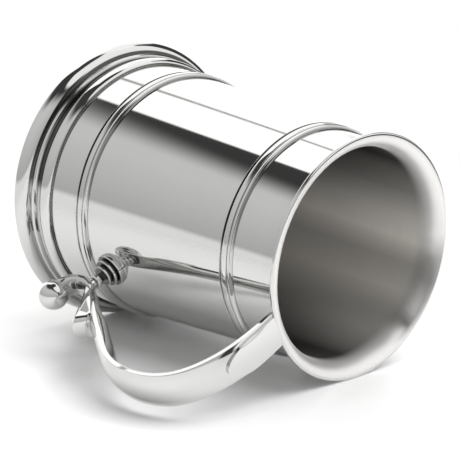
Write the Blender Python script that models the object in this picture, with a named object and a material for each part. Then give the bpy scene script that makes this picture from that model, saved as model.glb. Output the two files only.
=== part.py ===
"""Lidless pewter tankard: a tapered barrel on a moulded foot, two reeded bands and a double scroll handle.

It stands on z = 0 with its axis upright and its handle on +X, and its box is centred on the origin.
Sizes are in metres.
"""

import math

import bmesh
import bpy
import numpy as np
from mathutils import Matrix, Vector

MM = 0.001

# Overall sizes
HEIGHT = 121.0 * MM
LIP_RADIUS = 41.6 * MM
BARREL_TOP_RADIUS = 37.0 * MM
BARREL_FOOT_RADIUS = 46.3 * MM
FOOT_RADIUS = 51.6 * MM

# Barrel wall and lip
WALL = 1.5 * MM
LIP_FACE = 1.3 * MM
LIP_COVE_DEPTH = 3.0 * MM
LIP_FLARE_DEPTH = 7.0 * MM
LIP_CORNER = 0.5 * MM

# Foot, from the ground up
FOOT_RIM_WIDTH = 2.8 * MM
SKIRT_BULGE_HEIGHT = 0.8 * MM
SKIRT_HEIGHT = 5.0 * MM
GROOVE_PROUD = 0.9 * MM
BEAD_HEIGHT = 1.8 * MM
BEAD_PROUD = 1.5 * MM
COVE_HEIGHT = 3.2 * MM
COVE_WALL = 0.8 * MM
LEDGE_HEIGHT = 3.6 * MM
LEDGE_PROUD = 2.1 * MM
LEDGE_LAND = 0.6 * MM
SEAT_DEPTH = 1.4 * MM
SEAT_WIDTH = 3.4 * MM
SEAT_THICKNESS = 1.6 * MM
BASE_THICKNESS = 1.6 * MM

# Reeded bands
LOWER_BAND_HEIGHT = 29.6 * MM
UPPER_BAND_HEIGHT = 97.2 * MM
BAND_WIDTH = 5.2 * MM
BAND_PROUD = 1.1 * MM
BAND_SKIN = 0.45 * MM
NARROW_REED_SHARE = 0.36

# Handle: its reach is the finger room beside the lip, and its drop ends at the strut's axis
HANDLE_REACH = 41.0 * MM
STRUT_HEIGHT = 41.0 * MM
NECK_STANDOFF = 10.4 * MM
TAIL_DROP = 9.2 * MM
TAIL_REACH = 5.8 * MM
TAIL_JOINT_SHARE = 0.45
STRAP_RIM = 1.2 * MM
LIP_HALF_WIDTH = 6.2 * MM
BEND_HALF_WIDTH = 5.3 * MM
SPUR_HALF_WIDTH = 4.3 * MM
NECK_HALF_WIDTH = 3.7 * MM
LIP_CROWN = 0.6 * MM
GRIP_CROWN = 2.2 * MM
BEND_CROWN = 3.3 * MM
SPUR_CROWN = 1.8 * MM
NECK_CROWN = 2.0 * MM
SPUR_REACH = 20.6 * MM
SPUR_RISE = 15.4 * MM
SPUR_TIP_ROUND = 4.2 * MM
SPUR_PROUD = 0.3 * MM
SPUR_SUNK = 0.5 * MM
SPUR_START = 0.76
SPUR_END = 0.93
LEAF_LENGTH = 21.5 * MM
LEAF_TIP_LENGTH = 11.5 * MM
LEAF_THICKNESS = 1.0 * MM
LEAF_HALF_SPREAD = 74.0
LEAF_BLUNTNESS = 0.002
BALL_RADIUS = 5.2 * MM
BALL_FLAT_DEPTH = 1.5 * MM

# Strut, from the barrel outwards
STRUT_FLANGE_RADIUS = 6.0 * MM
STRUT_RING_RADIUS = 5.0 * MM
STRUT_COLLAR_RADIUS = 3.8 * MM
STRUT_BEAD_RADIUS = 2.5 * MM
STRUT_RING_LENGTH = 1.3 * MM
STRUT_GROOVE_LENGTH = 0.5 * MM
STRUT_GROOVE_DEPTH = 0.9 * MM
STRUT_BUTTON_RADIUS = 2.2 * MM
STRUT_BUTTON_LENGTH = 1.3 * MM

# Clearance left for solder at every joint
SOLDER_GAP = 0.3 * MM

# Facets
TURNED_SIDES = 60
SMALL_SIDES = 24
PATH_STEPS = 200
LOOP_STEPS = 70
TAIL_STEPS = 8
SPUR_STEPS = 6
LEAF_STEPS = 14
ARC_STEPS = 4

AXIS_NAME = "tankard"

POLISHED_PEWTER = ("polished_pewter", (0.78, 0.78, 0.77, 1.0), 0.12)
SATIN_PEWTER = ("satin_pewter", (0.62, 0.60, 0.57, 1.0), 0.35)


def clear_scene():
    """Remove every object of the open scene."""
    for obj in list(bpy.data.objects):
        bpy.data.objects.remove(obj, do_unlink=True)


def metal(name, colour, roughness):
    """A Principled material of one pewter finish."""
    material = bpy.data.materials.get(name)
    if material is None:
        material = bpy.data.materials.new(name)
        material.use_nodes = True
        shader = material.node_tree.nodes["Principled BSDF"]
        shader.inputs["Base Color"].default_value = colour
        shader.inputs["Roughness"].default_value = roughness
        shader.inputs["Metallic"].default_value = 1.0
    return material


def finished(name, bm, finish, sharp_degrees=35.0):
    """Turn a closed bmesh into a named, smooth-shaded object on the tankard's axis."""
    bmesh.ops.remove_doubles(bm, verts=bm.verts, dist=0.001 * MM)
    bmesh.ops.recalc_face_normals(bm, faces=bm.faces)
    mesh = bpy.data.meshes.new(name)
    bm.to_mesh(mesh)
    bm.free()
    mesh.shade_smooth()
    mesh.set_sharp_from_angle(angle=math.radians(sharp_degrees))
    mesh.materials.append(metal(*finish))
    obj = bpy.data.objects.new(name, mesh)
    obj.parent = bpy.data.objects[AXIS_NAME]
    bpy.context.scene.collection.objects.link(obj)
    return obj


def turned_mesh(outline, sides, closed=True):
    """Spin an outline of (radius, height) points a full turn about Z."""
    bm = bmesh.new()
    verts = [bm.verts.new((radius, 0.0, height)) for radius, height in outline]
    edges = [bm.edges.new(pair) for pair in zip(verts, verts[1:])]
    if closed:
        edges.append(bm.edges.new((verts[-1], verts[0])))
    bmesh.ops.spin(
        bm,
        geom=verts + edges,
        axis=(0.0, 0.0, 1.0),
        cent=(0.0, 0.0, 0.0),
        angle=2.0 * math.pi,
        steps=sides,
        use_merge=True,
    )
    return bm


def arc(centre, reach, start_degrees, end_degrees, steps=ARC_STEPS):
    """Points of an elliptical arc; reach holds its radial and upright half-axes."""
    points = []
    for step in range(steps + 1):
        angle = math.radians(start_degrees + (end_degrees - start_degrees) * step / steps)
        points.append((centre[0] + reach[0] * math.cos(angle), centre[1] + reach[1] * math.sin(angle)))
    return points


def barrel_radius(height):
    """Outer radius of the barrel's straight taper."""
    return BARREL_FOOT_RADIUS + (BARREL_TOP_RADIUS - BARREL_FOOT_RADIUS) * height / HEIGHT


def foot_top():
    """Height of the ledge where the foot meets the barrel's plain wall."""
    return SKIRT_HEIGHT + BEAD_HEIGHT + COVE_HEIGHT + LEDGE_HEIGHT


def barrel_bottom():
    """Height of the barrel's lower edge, which sits on the seat inside the foot."""
    return foot_top() - LEDGE_HEIGHT - SEAT_DEPTH + SOLDER_GAP


def barrel_outside(clearance=0.0):
    """Outside of the barrel from its lower edge up to the lip's outer corner."""
    cove_bottom = HEIGHT - LIP_FACE - LIP_COVE_DEPTH
    root = barrel_radius(cove_bottom)
    cove_reach = (LIP_RADIUS - LIP_CORNER - root - clearance, LIP_COVE_DEPTH - clearance)
    face = LIP_RADIUS + clearance
    outline = [(barrel_radius(barrel_bottom()) + clearance, barrel_bottom())]
    outline += arc((LIP_RADIUS - LIP_CORNER, cove_bottom), cove_reach, 180.0, 90.0)
    outline += [(face, HEIGHT - LIP_FACE + LIP_CORNER - clearance), (face, HEIGHT - LIP_CORNER)]
    return outline


def make_barrel():
    """Spun wall with a lip that flares outwards and is rolled over inside."""
    flare_bottom = HEIGHT - LIP_FLARE_DEPTH
    inner = barrel_radius(flare_bottom) - WALL
    flare_width = LIP_RADIUS - 2.0 * LIP_CORNER - inner
    flare = arc((LIP_RADIUS - 2.0 * LIP_CORNER, flare_bottom), (flare_width, LIP_FLARE_DEPTH), 90.0, 180.0)
    outline = barrel_outside() + flare
    outline.append((barrel_radius(barrel_bottom()) - WALL, barrel_bottom()))
    return finished("barrel", turned_mesh(outline, TURNED_SIDES), POLISHED_PEWTER)


def make_barrel_clearance():
    """Cutter that trims the handle and the strut to the barrel's outside."""
    outline = [(0.0, barrel_bottom())] + barrel_outside(SOLDER_GAP)
    top = HEIGHT + LIP_RADIUS
    outline += [(LIP_RADIUS + SOLDER_GAP, top), (0.0, top)]
    cutter = finished("barrel_clearance", turned_mesh(outline, TURNED_SIDES, closed=False), POLISHED_PEWTER)
    cutter.hide_render = True
    cutter.display_type = "WIRE"
    return cutter


def make_base_plate():
    """Disc that closes the barrel, resting on the seat inside the foot."""
    bottom = barrel_bottom()
    top = bottom + BASE_THICKNESS
    radius = barrel_radius(top) - WALL - SOLDER_GAP
    outline = [(0.0, top), (radius, top), (radius, bottom), (0.0, bottom)]
    return finished("base_plate", turned_mesh(outline, TURNED_SIDES, closed=False), SATIN_PEWTER)


def make_foot_ring():
    """Moulded foot: a ledge, a cove, a bead and a swelling skirt round a hollow underside."""
    top = foot_top()
    seat = barrel_bottom() - SOLDER_GAP
    bore_top = barrel_radius(top) + SOLDER_GAP
    bore_bottom = barrel_radius(seat) + SOLDER_GAP
    ledge_radius = barrel_radius(top) + LEDGE_PROUD
    land_radius = bore_top + LEDGE_LAND
    ledge_bottom = top - LEDGE_HEIGHT
    cove_radius = bore_bottom + COVE_WALL
    groove_radius = cove_radius + GROOVE_PROUD
    cove_middle = ledge_bottom - 0.5 * COVE_HEIGHT

    outline = [(bore_top, top)]
    outline += arc((land_radius, ledge_bottom), (ledge_radius - land_radius, LEDGE_HEIGHT), 90.0, 0.0)
    outline += arc((ledge_radius, cove_middle), (ledge_radius - cove_radius, 0.5 * COVE_HEIGHT), 110.0, 240.0)
    bead_reach = (BEAD_PROUD, 0.5 * BEAD_HEIGHT)
    outline += arc((cove_radius, SKIRT_HEIGHT + bead_reach[1]), bead_reach, 60.0, -60.0)
    skirt_reach = (FOOT_RADIUS - groove_radius, SKIRT_HEIGHT - SKIRT_BULGE_HEIGHT)
    outline += arc((groove_radius, SKIRT_BULGE_HEIGHT), skirt_reach, 82.0, 0.0, 2 * ARC_STEPS)
    rim_edge = FOOT_RADIUS - SKIRT_BULGE_HEIGHT
    outline += [(rim_edge, 0.0), (rim_edge - FOOT_RIM_WIDTH, 0.0)]
    inner = bore_bottom - SEAT_WIDTH
    outline += [(inner, seat - SEAT_THICKNESS), (inner, seat), (bore_bottom, seat)]
    return finished("foot_ring", turned_mesh(outline, TURNED_SIDES), POLISHED_PEWTER)


def make_band(name, height):
    """Reeded hoop: a wide reed below a narrow one, over a thin skin that fits the barrel."""
    bottom = height - 0.5 * BAND_WIDTH
    split = bottom + (1.0 - NARROW_REED_SHARE) * BAND_WIDTH
    outline = []
    for low, high in ((split, bottom + BAND_WIDTH), (bottom, split)):
        middle = 0.5 * (low + high)
        root = barrel_radius(middle) + SOLDER_GAP + BAND_SKIN
        reach = (BAND_PROUD - BAND_SKIN, 0.5 * (high - low))
        outline += arc((root, middle), reach, 84.0, -84.0, 6)
    outline.append((barrel_radius(bottom) + SOLDER_GAP, bottom))
    outline.append((barrel_radius(bottom + BAND_WIDTH) + SOLDER_GAP, bottom + BAND_WIDTH))
    return finished(name, turned_mesh(outline, TURNED_SIDES), POLISHED_PEWTER)


def spline(points, steps):
    """Natural cubic spline through points, read at evenly spaced chord lengths."""
    points = np.array(points, float)
    chords = np.linalg.norm(np.diff(points, axis=0), axis=1)
    knots = np.concatenate([[0.0], np.cumsum(chords)])
    count = len(points)
    system = np.eye(count)
    right = np.zeros_like(points)
    for i in range(1, count - 1):
        system[i, i - 1 : i + 2] = chords[i - 1], 2.0 * (chords[i - 1] + chords[i]), chords[i]
        rise = (points[i + 1] - points[i]) / chords[i] - (points[i] - points[i - 1]) / chords[i - 1]
        right[i] = 6.0 * rise
    bends = np.linalg.solve(system, right)
    places = np.linspace(0.0, knots[-1], steps + 1)
    spans = np.clip(np.searchsorted(knots, places, side="right") - 1, 0, count - 2)
    length = chords[spans][:, None]
    after = (places - knots[spans])[:, None]
    before = length - after
    curve = bends[spans] * before**3 / (6.0 * length) + bends[spans + 1] * after**3 / (6.0 * length)
    curve += (points[spans] / length - bends[spans] * length / 6.0) * before
    curve += (points[spans + 1] / length - bends[spans + 1] * length / 6.0) * after
    return curve


def neck_face():
    """Distance from the axis to the handle's flat face where the strut meets it."""
    return barrel_radius(STRUT_HEIGHT) + NECK_STANDOFF


def handle_path():
    """Flat inner face of the handle in its own plane, from inside the lip to the end of the tail."""
    drop = HEIGHT - STRUT_HEIGHT
    loop = (
        (-0.14, 0.034),
        (0.20, 0.021),
        (0.45, 0.028),
        (0.68, 0.062),
        (0.87, 0.127),
        (0.98, 0.240),
        (0.995, 0.350),
        (0.94, 0.462),
        (0.84, 0.555),
        (0.73, 0.645),
        (0.60, 0.750),
        (0.44, 0.862),
    )
    points = [(LIP_RADIUS + HANDLE_REACH * out, HEIGHT - drop * down) for out, down in loop]
    neck = neck_face()
    for out, down in ((0.0, 0.0), (0.06, 0.45), (0.40, 0.84), (1.0, 1.0)):
        points.append((neck + TAIL_REACH * out, STRUT_HEIGHT - TAIL_DROP * down))
    return spline(points, PATH_STEPS)


def path_lengths(path):
    """Length along a path at each of its points."""
    return np.concatenate([[0.0], np.cumsum(np.linalg.norm(np.diff(path, axis=0), axis=1))])


def path_normals(path):
    """Unit normals of a path, on its left when it runs down the handle: away from the barrel."""
    along = np.gradient(path, axis=0)
    along /= np.linalg.norm(along, axis=1)[:, None]
    return np.column_stack([-along[:, 1], along[:, 0]])


def strap_sizes(place):
    """Half width and crown height of the strap at a share of its length, from the lip to the neck."""
    widths = (LIP_HALF_WIDTH, LIP_HALF_WIDTH, BEND_HALF_WIDTH, SPUR_HALF_WIDTH, NECK_HALF_WIDTH)
    crowns = (LIP_CROWN, GRIP_CROWN, BEND_CROWN, BEND_CROWN, SPUR_CROWN, NECK_CROWN)
    half_width = np.interp(place, (0.0, 0.16, 0.50, 0.66, 1.0), widths)
    crown = np.interp(place, (0.0, 0.16, 0.36, 0.47, 0.61, 1.0), crowns)
    return float(half_width), float(crown)


def strap_section(half_width, rim, crown):
    """Section of the strap as (across, out) points: flat inside, upright rims and a round crown."""
    section = [(-half_width, 0.0), (half_width, 0.0)]
    section += arc((0.0, rim), (half_width, crown), 0.0, 180.0, 8)
    return section


def lofted_mesh(sections):
    """Join closed sections of equally many points in a row and close both ends."""
    bm = bmesh.new()
    rings = [[bm.verts.new(point) for point in section] for section in sections]
    for first, second in zip(rings, rings[1:]):
        for i in range(len(first)):
            j = (i + 1) % len(first)
            bm.faces.new((first[i], first[j], second[j], second[i]))
    bm.faces.new(rings[0])
    bm.faces.new(reversed(rings[-1]))
    return bm


def swept_sections(path, normals, sizes):
    """Strap sections standing square to a path; sizes holds (half width, rim, crown) for each point."""
    sections = []
    for point, normal, size in zip(path, normals, sizes):
        section = []
        for across, out in strap_section(*size):
            section.append((point[0] + normal[0] * out, across, point[1] + normal[1] * out))
        sections.append(section)
    return sections


def between(stations, marks, rows):
    """Rows read at the given stations, in straight lines between their marks."""
    return np.stack([np.interp(stations, marks, rows[:, axis]) for axis in range(2)], axis=-1)


def path_stretch(start, end, steps):
    """Points, normals and length shares of the handle's path between two lengths."""
    path = handle_path()
    lengths = path_lengths(path)
    stations = np.linspace(start, end, steps + 1)
    points = between(stations, lengths, path)
    normals = between(stations, lengths, path_normals(path))
    normals /= np.linalg.norm(normals, axis=1)[:, None]
    return points, normals, np.linspace(0.0, 1.0, steps + 1)


def joint_length():
    """Length along the handle's path where the loop ends and the tail begins, just below the strut."""
    path = handle_path()
    drops = HEIGHT - path[:, 1]
    return float(np.interp(HEIGHT - STRUT_HEIGHT + TAIL_JOINT_SHARE * TAIL_DROP, drops, path_lengths(path)))


def loop_path():
    """The handle's path from inside the lip to the joint."""
    return path_stretch(0.0, joint_length(), LOOP_STEPS)


def tail_path():
    """The handle's path from the joint to the ball, clear of the loop's end."""
    return path_stretch(joint_length() + SOLDER_GAP, path_lengths(handle_path())[-1], TAIL_STEPS)


def cut_away(obj, cutter):
    """Trim an object with a cutter."""
    cut = obj.modifiers.new("trim", "BOOLEAN")
    cut.operation = "DIFFERENCE"
    cut.solver = "EXACT"
    cut.object = cutter


def make_spur():
    """Wedge that fans out from the strap to a rounded tip, above the neck; it is joined to the loop."""
    path, normals, places = loop_path()
    tip = np.array([neck_face() + SPUR_REACH, STRUT_HEIGHT + SPUR_RISE])
    sections = []
    for share in np.linspace(0.0, 1.0, SPUR_STEPS + 1):
        place = SPUR_START + (SPUR_END - SPUR_START) * share
        point = between(place, places, path)
        normal = between(place, places, normals)
        crown = strap_sizes(place)[1]
        if not sections:
            shoulder = point + normal * (STRAP_RIM + crown - SPUR_SUNK)
        inner = point + normal * SPUR_SUNK
        across_fan = shoulder + (tip - shoulder) * share - inner
        depth = float(np.linalg.norm(across_fan))
        rounding = crown + (SPUR_TIP_ROUND - crown) * share
        size = (SPUR_HALF_WIDTH + SPUR_PROUD, depth - rounding, rounding)
        sections += swept_sections([inner], [across_fan / depth], [size])
    spur = finished("spur", lofted_mesh(sections), POLISHED_PEWTER)
    spur.hide_render = True
    spur.display_type = "WIRE"
    return spur


def make_handle_loop(cutter):
    """Cast strap from the lip round the fingers to the neck, with its spur."""
    path, normals, places = loop_path()
    sizes = []
    for place in places:
        half_width, crown = strap_sizes(place)
        sizes.append((half_width, STRAP_RIM, crown))
    loop = finished("handle_loop", lofted_mesh(swept_sections(path, normals, sizes)), POLISHED_PEWTER)
    join = loop.modifiers.new("spur", "BOOLEAN")
    join.operation = "UNION"
    join.solver = "EXACT"
    join.object = make_spur()
    cut_away(loop, cutter)
    return loop


def make_tail_scroll():
    """Small scroll that runs on from the neck and out to the ball."""
    path, normals, _ = tail_path()
    size = (NECK_HALF_WIDTH, STRAP_RIM, NECK_CROWN)
    sections = swept_sections(path, normals, [size] * len(path))
    return finished("tail_scroll", lofted_mesh(sections), POLISHED_PEWTER)


def make_ball_finial():
    """Ball at the end of the tail, flattened where it sits on the tail's end."""
    path, normals, _ = tail_path()
    along = Vector((normals[-1][1], 0.0, -normals[-1][0]))
    middle = path[-1] + normals[-1] * 0.5 * (STRAP_RIM + NECK_CROWN)
    seat = Vector((middle[0], 0.0, middle[1])) + along * SOLDER_GAP
    bm = bmesh.new()
    turn = along.to_track_quat("Z", "Y").to_matrix().to_4x4()
    place = Matrix.Translation(seat + along * (BALL_RADIUS - BALL_FLAT_DEPTH)) @ turn
    bmesh.ops.create_uvsphere(
        bm,
        u_segments=SMALL_SIDES,
        v_segments=SMALL_SIDES // 2,
        radius=BALL_RADIUS,
        matrix=place,
    )
    everything = bm.verts[:] + bm.edges[:] + bm.faces[:]
    bmesh.ops.bisect_plane(bm, geom=everything, plane_co=seat, plane_no=along, clear_inner=True)
    bmesh.ops.holes_fill(bm, edges=[edge for edge in bm.edges if edge.is_boundary])
    return finished("ball_finial", bm, POLISHED_PEWTER)


def make_thumb_leaf(cutter):
    """Raised tongue that lies on the strap's crown from the lip to its rounded tip."""
    path, normals, _ = loop_path()
    lengths = path_lengths(path)
    lip_side = len(path) // 4
    start = np.interp(LIP_RADIUS, path[:lip_side, 0], lengths[:lip_side])
    end = start + LEAF_LENGTH
    sections = []
    for station in [0.0, *np.linspace(start, end, LEAF_STEPS)]:
        share = min((end - station) / LEAF_TIP_LENGTH, 1.0)
        spread = LEAF_HALF_SPREAD * math.sqrt(max(1.0 - (1.0 - share) ** 2, LEAF_BLUNTNESS))
        point = between(station, lengths, path)
        normal = between(station, lengths, normals)
        half_width, crown = strap_sizes(station / lengths[-1])
        angles = np.radians(np.linspace(90.0 - spread, 90.0 + spread, 2 * ARC_STEPS + 1))
        section = []
        for lift, turns in ((SOLDER_GAP, angles), (SOLDER_GAP + LEAF_THICKNESS, reversed(angles))):
            for angle in turns:
                out = STRAP_RIM + crown * math.sin(angle) + lift
                across = half_width * math.cos(angle)
                section.append((point[0] + normal[0] * out, across, point[1] + normal[1] * out))
        sections.append(section)
    leaf = finished("thumb_leaf", lofted_mesh(sections), POLISHED_PEWTER)
    cut_away(leaf, cutter)
    return leaf


def make_strut(cutter):
    """Turned stud from the barrel to the neck: flange, ring, collar, bead and button."""
    place = barrel_radius(STRUT_HEIGHT)
    end = neck_face() - SOLDER_GAP
    button_start = end - STRUT_BUTTON_LENGTH
    half = 0.5 * STRUT_RING_LENGTH
    outline = [(0.0, place - WALL), (STRUT_FLANGE_RADIUS, place - WALL)]
    rings = (STRUT_FLANGE_RADIUS, STRUT_RING_RADIUS, STRUT_COLLAR_RADIUS, STRUT_BEAD_RADIUS)
    for radius, next_radius in zip(rings, rings[1:]):
        outline += arc((radius - half, place + half), (half, half), 0.0, 90.0, 3)
        place += STRUT_RING_LENGTH
        waist = next_radius - STRUT_GROOVE_DEPTH
        outline += [(waist, place), (waist, place + STRUT_GROOVE_LENGTH)]
        place += STRUT_GROOVE_LENGTH
        outline.append((next_radius - half, place))
    outline.pop()
    bead_half = 0.5 * (button_start - place)
    outline += arc((0.0, place + bead_half), (STRUT_BEAD_RADIUS, bead_half), -45.0, 45.0, 6)
    outline += [(STRUT_BUTTON_RADIUS, button_start), (STRUT_BUTTON_RADIUS, end), (0.0, end)]
    bm = turned_mesh(outline, SMALL_SIDES, closed=False)
    turn = Matrix.Rotation(math.radians(90.0), 4, "Y")
    bmesh.ops.transform(bm, matrix=Matrix.Translation((0.0, 0.0, STRUT_HEIGHT)) @ turn, verts=bm.verts)
    strut = finished("strut", bm, POLISHED_PEWTER)
    cut_away(strut, cutter)
    return strut


def make_axis():
    """Empty on the barrel's axis, placed so that the whole tankard's box is centred on the origin."""
    path, normals, places = loop_path()
    reach = [
        point[0] + normal[0] * (STRAP_RIM + strap_sizes(place)[1])
        for point, normal, place in zip(path, normals, places)
    ]
    axis = bpy.data.objects.new(AXIS_NAME, None)
    axis.location.x = 0.5 * (FOOT_RADIUS - max(reach))
    bpy.context.scene.collection.objects.link(axis)


def main():
    """Build the tankard piece by piece."""
    clear_scene()
    make_axis()
    cutter = make_barrel_clearance()
    make_barrel()
    make_base_plate()
    make_foot_ring()
    make_band("lower_band", LOWER_BAND_HEIGHT)
    make_band("upper_band", UPPER_BAND_HEIGHT)
    make_handle_loop(cutter)
    make_thumb_leaf(cutter)
    make_tail_scroll()
    make_ball_finial()
    make_strut(cutter)


main()
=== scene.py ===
"""Lidless pewter tankard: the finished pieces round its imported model, and the studio that it lies in.

Laid out as a Blender add-on. Each operator makes one piece, or a pair of like pieces, from the sizes in the
scene's tankard settings. Sizes are in metres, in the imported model's own frame, with the barrel's axis upright.
"""

import math

import bmesh
import bpy
import numpy as np
from bpy.props import FloatProperty, FloatVectorProperty, PointerProperty
from mathutils import Matrix, Vector


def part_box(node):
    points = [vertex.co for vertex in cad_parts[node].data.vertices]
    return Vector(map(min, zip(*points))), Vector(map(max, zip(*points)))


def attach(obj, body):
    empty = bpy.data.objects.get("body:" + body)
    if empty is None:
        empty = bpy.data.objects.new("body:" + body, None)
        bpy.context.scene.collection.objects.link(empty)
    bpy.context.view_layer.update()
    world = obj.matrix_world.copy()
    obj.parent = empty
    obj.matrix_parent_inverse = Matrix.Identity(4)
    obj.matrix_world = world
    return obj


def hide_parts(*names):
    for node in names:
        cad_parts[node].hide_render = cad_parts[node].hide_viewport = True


bl_info = {
    "name": "Pewter Tankard",
    "version": (1, 0, 0),
    "blender": (4, 5, 0),
    "location": "3D View > Sidebar > Tankard",
    "description": "Builds a lidless pewter tankard piece by piece, with a studio to show it in",
    "category": "Add Mesh",
}

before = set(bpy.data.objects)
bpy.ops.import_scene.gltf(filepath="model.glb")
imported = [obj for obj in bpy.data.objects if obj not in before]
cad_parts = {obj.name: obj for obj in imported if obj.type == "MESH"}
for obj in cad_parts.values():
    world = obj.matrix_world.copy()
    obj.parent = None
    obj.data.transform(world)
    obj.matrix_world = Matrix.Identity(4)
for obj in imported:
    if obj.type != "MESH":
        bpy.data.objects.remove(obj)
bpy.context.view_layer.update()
BARREL_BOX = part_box("barrel")
AXIS_X = 0.5 * (BARREL_BOX[0].x + BARREL_BOX[1].x)

MM = 0.001

# Fineness of the meshes
TURNED_SIDES = 192
STUD_SIDES = 96
FLOOR_SIDES = 96
ARC_STEPS = 10
PROFILE_STEP = 2.5 * MM
SUPPORT = 0.35 * MM
STRAP_POINTS = 48
PATH_STEPS = 1200
LOOP_RINGS = 130
SPUR_RINGS = 24
TAIL_RINGS = 28
TONGUE_GRID = (60, 24)

# Points closer than DOUBLE are merged, edges that a bevel squeezed under DEGENERATE are dissolved, and edges over
# SHARP degrees are shaded as sharp
DOUBLE = 0.0005 * MM
DEGENERATE = 0.002 * MM
SHARP = 50.0

# How close a point lies to a strap's rim, or to the stud's seat on the wall, to belong to it
RIM_TOUCH = 0.001 * MM
STUD_TOUCH = 0.01 * MM

# Shares of a radius by which a face of the barrel or the foot looks inwards when it has the brushed finish
BARREL_INSIDE = 0.05
FOOT_INSIDE = 0.2

# The handle's flat inner face: shares of its reach beyond the lip, and of its drop from the lip to the stud
LOOP_POINTS = (
    (-0.14, 0.034), (0.20, 0.021), (0.45, 0.028), (0.68, 0.062),
    (0.87, 0.127), (0.98, 0.240), (0.995, 0.350), (0.94, 0.462),
    (0.84, 0.555), (0.73, 0.645), (0.60, 0.750), (0.44, 0.862),
)
TAIL_POINTS = ((0.0, 0.0), (0.06, 0.45), (0.40, 0.84), (1.0, 1.0))

# Places along the strap, as shares of its length, where its half widths, crowns and belly are given, and the span
# over which they are evened out
WIDTH_PLACES = (0.0, 0.16, 0.50, 0.66, 1.0)
CROWN_PLACES = (0.0, 0.16, 0.36, 0.47, 0.61, 1.0)
BELLY_PLACES = (0.44, 0.62, 0.80, 0.92)
SIZE_SPAN = np.linspace(-0.05, 0.05, 11)

# Room between the lip and the strap's first section, and between the spur and the section after it
STRAP_GAP = 0.5 * MM

# The spur: where its back narrows, how soon it leaves the strap's crown, its shoulder's height, its sides' shares,
# how full its tip is and how much of its depth the tip's rounding may take
SPUR_BACK = 0.84
SPUR_BLEND = 0.28
SPUR_SHOULDER = 0.75
SPUR_SHARES = (0.26, 0.46)
SPUR_FULLNESS = 0.72
SPUR_ROUNDED = 0.8

# The tongue: the least square of its width's share at the tip, and how near the lip it is pressed on the wall
TONGUE_LEAST = 0.0004
TONGUE_REACH = 0.55 * MM

# The disc: its fillet, how deep it is dished and where, and the turned line under it
DISC_FILLET = 0.9 * MM
DISC_DISH = 0.35 * MM
DISC_DISHING = ((0.45, 0.8), (0.78, 0.25))
DISC_LINE = (0.62, 0.60)
DISC_LINE_REACH = (0.5 * MM, 0.3 * MM)

# The foot: angles of its arcs in degrees, and the small steps at the bead and the groove
COVE_ARC = (110.0, 215.0)
BEAD_STEP_IN = (0.1 * MM, 0.07 * MM)
BEAD_STEP_OUT = (0.75, 0.18 * MM)
BEAD_ARC = (35.0, -32.0)
GROOVE_STEP = (0.08 * MM, 0.14 * MM)
SKIRT_ARC = (74.0, 0.0)
RIM_ARC = (-8.0, -82.0)

# A band's outside: shares of its height, and of how far its reeds stand out
BAND_PROFILE = (
    (0.020, 0.64), (0.055, 0.84), (0.088, 0.84), (0.133, 0.16), (0.190, 0.16),
    (0.216, 0.74), (0.262, 0.90), (0.330, 0.96), (0.430, 0.99), (0.530, 0.97),
    (0.622, 0.90), (0.644, 0.58), (0.672, 0.58), (0.694, 0.76), (0.755, 0.88),
    (0.840, 0.95), (0.892, 0.92), (0.932, 0.26), (0.975, 0.10),
)

# Painted reflection and shade of the brushed finish inside the barrel, as brightness in its base colour: shares of a
# turn from the far side of the handle, and brightness
PAINTED_SATIN_REFLECTION = (
    (0.000, 0.40), (0.070, 0.05), (0.115, 0.06), (0.200, 0.95), (0.540, 1.00),
    (0.600, 0.40), (0.640, 0.07), (0.690, 0.06), (0.770, 0.54), (0.845, 0.90),
    (0.886, 0.70), (0.920, 1.00), (0.958, 0.78), (1.000, 0.40),
)

# Painted reflection on the flare inside the lip, in the same way
PAINTED_FLARE_REFLECTION = (
    (0.000, 1.00), (0.780, 1.00), (0.835, 0.74), (0.870, 0.40), (0.905, 0.46),
    (0.940, 0.92), (1.000, 1.00),
)

# Recesses: the bend in radians from which an inside corner counts, the size at which it counts in full, the least
# area of a face beside it, and how many times the result is evened out
RECESS_BEND = 0.12
RECESS_SIZE = 0.6 * MM
RECESS_AREA = 1e-12
RECESS_PASSES = 2

# Painted shade over an even patina on the foot and the bands: where the painted shade starts and ends round the axis
# from the handle, how softly in degrees, and how much of the darkening, as patina, is left on the other side
PAINTED_SHADE_TURN = (196.0, 329.0)
PAINTED_SHADE_SOFT = (24.0, 5.0)
PATINA_LEFT = 0.30

# How dark each piece is darkened, and where: painted shade over an even patina on the foot and the bands, a painted
# dark reflection along the tail, and darkening on the ledge's land, under the lip and in the stud's grooves
FOOT_PATINA_AND_SHADE = 1.18
COVE_DARKENED = (0.2 * MM, 0.5 * MM)
COVE_DARKENED_ENDS = (0.1 * MM, 0.2 * MM)
SHOULDER_DARKENED = (0.05 * MM, 1.75 * MM)
SHOULDER_DEPTH = 0.36 * MM
LAND_DARKENING = 0.95
LAND_DARKENED = (0.1 * MM, 0.12 * MM)
BAND_PATINA_AND_SHADE = ((0.080, 0.222, 1.10), (0.615, 0.696, 0.55), (0.910, 1.001, 0.85))
STUD_DARKENING = 1.10
STUD_DARKENED = 0.15 * MM
LIP_DARKENING = 0.95
LIP_DARKENED = (0.2, 0.1 * MM)
LIP_SKIN = 0.3 * MM
TAIL_DARK_REFLECTION = 0.70
TAIL_REFLECTION_WIDTH = 0.9

# Lines of the finishes, per metre along the axis and per radian round it, and their clouds and marks per metre
BUFFING = (5200.0, 7.0)
FINE_BRUSHING = (4300.0, 5.0)
BROAD_BRUSHING = (900.0, 2.5)
POLISH_CLOUDS = 55.0
HANDLING_MARKS = 130.0
SATIN_CLOUDS = 42.0
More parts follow.
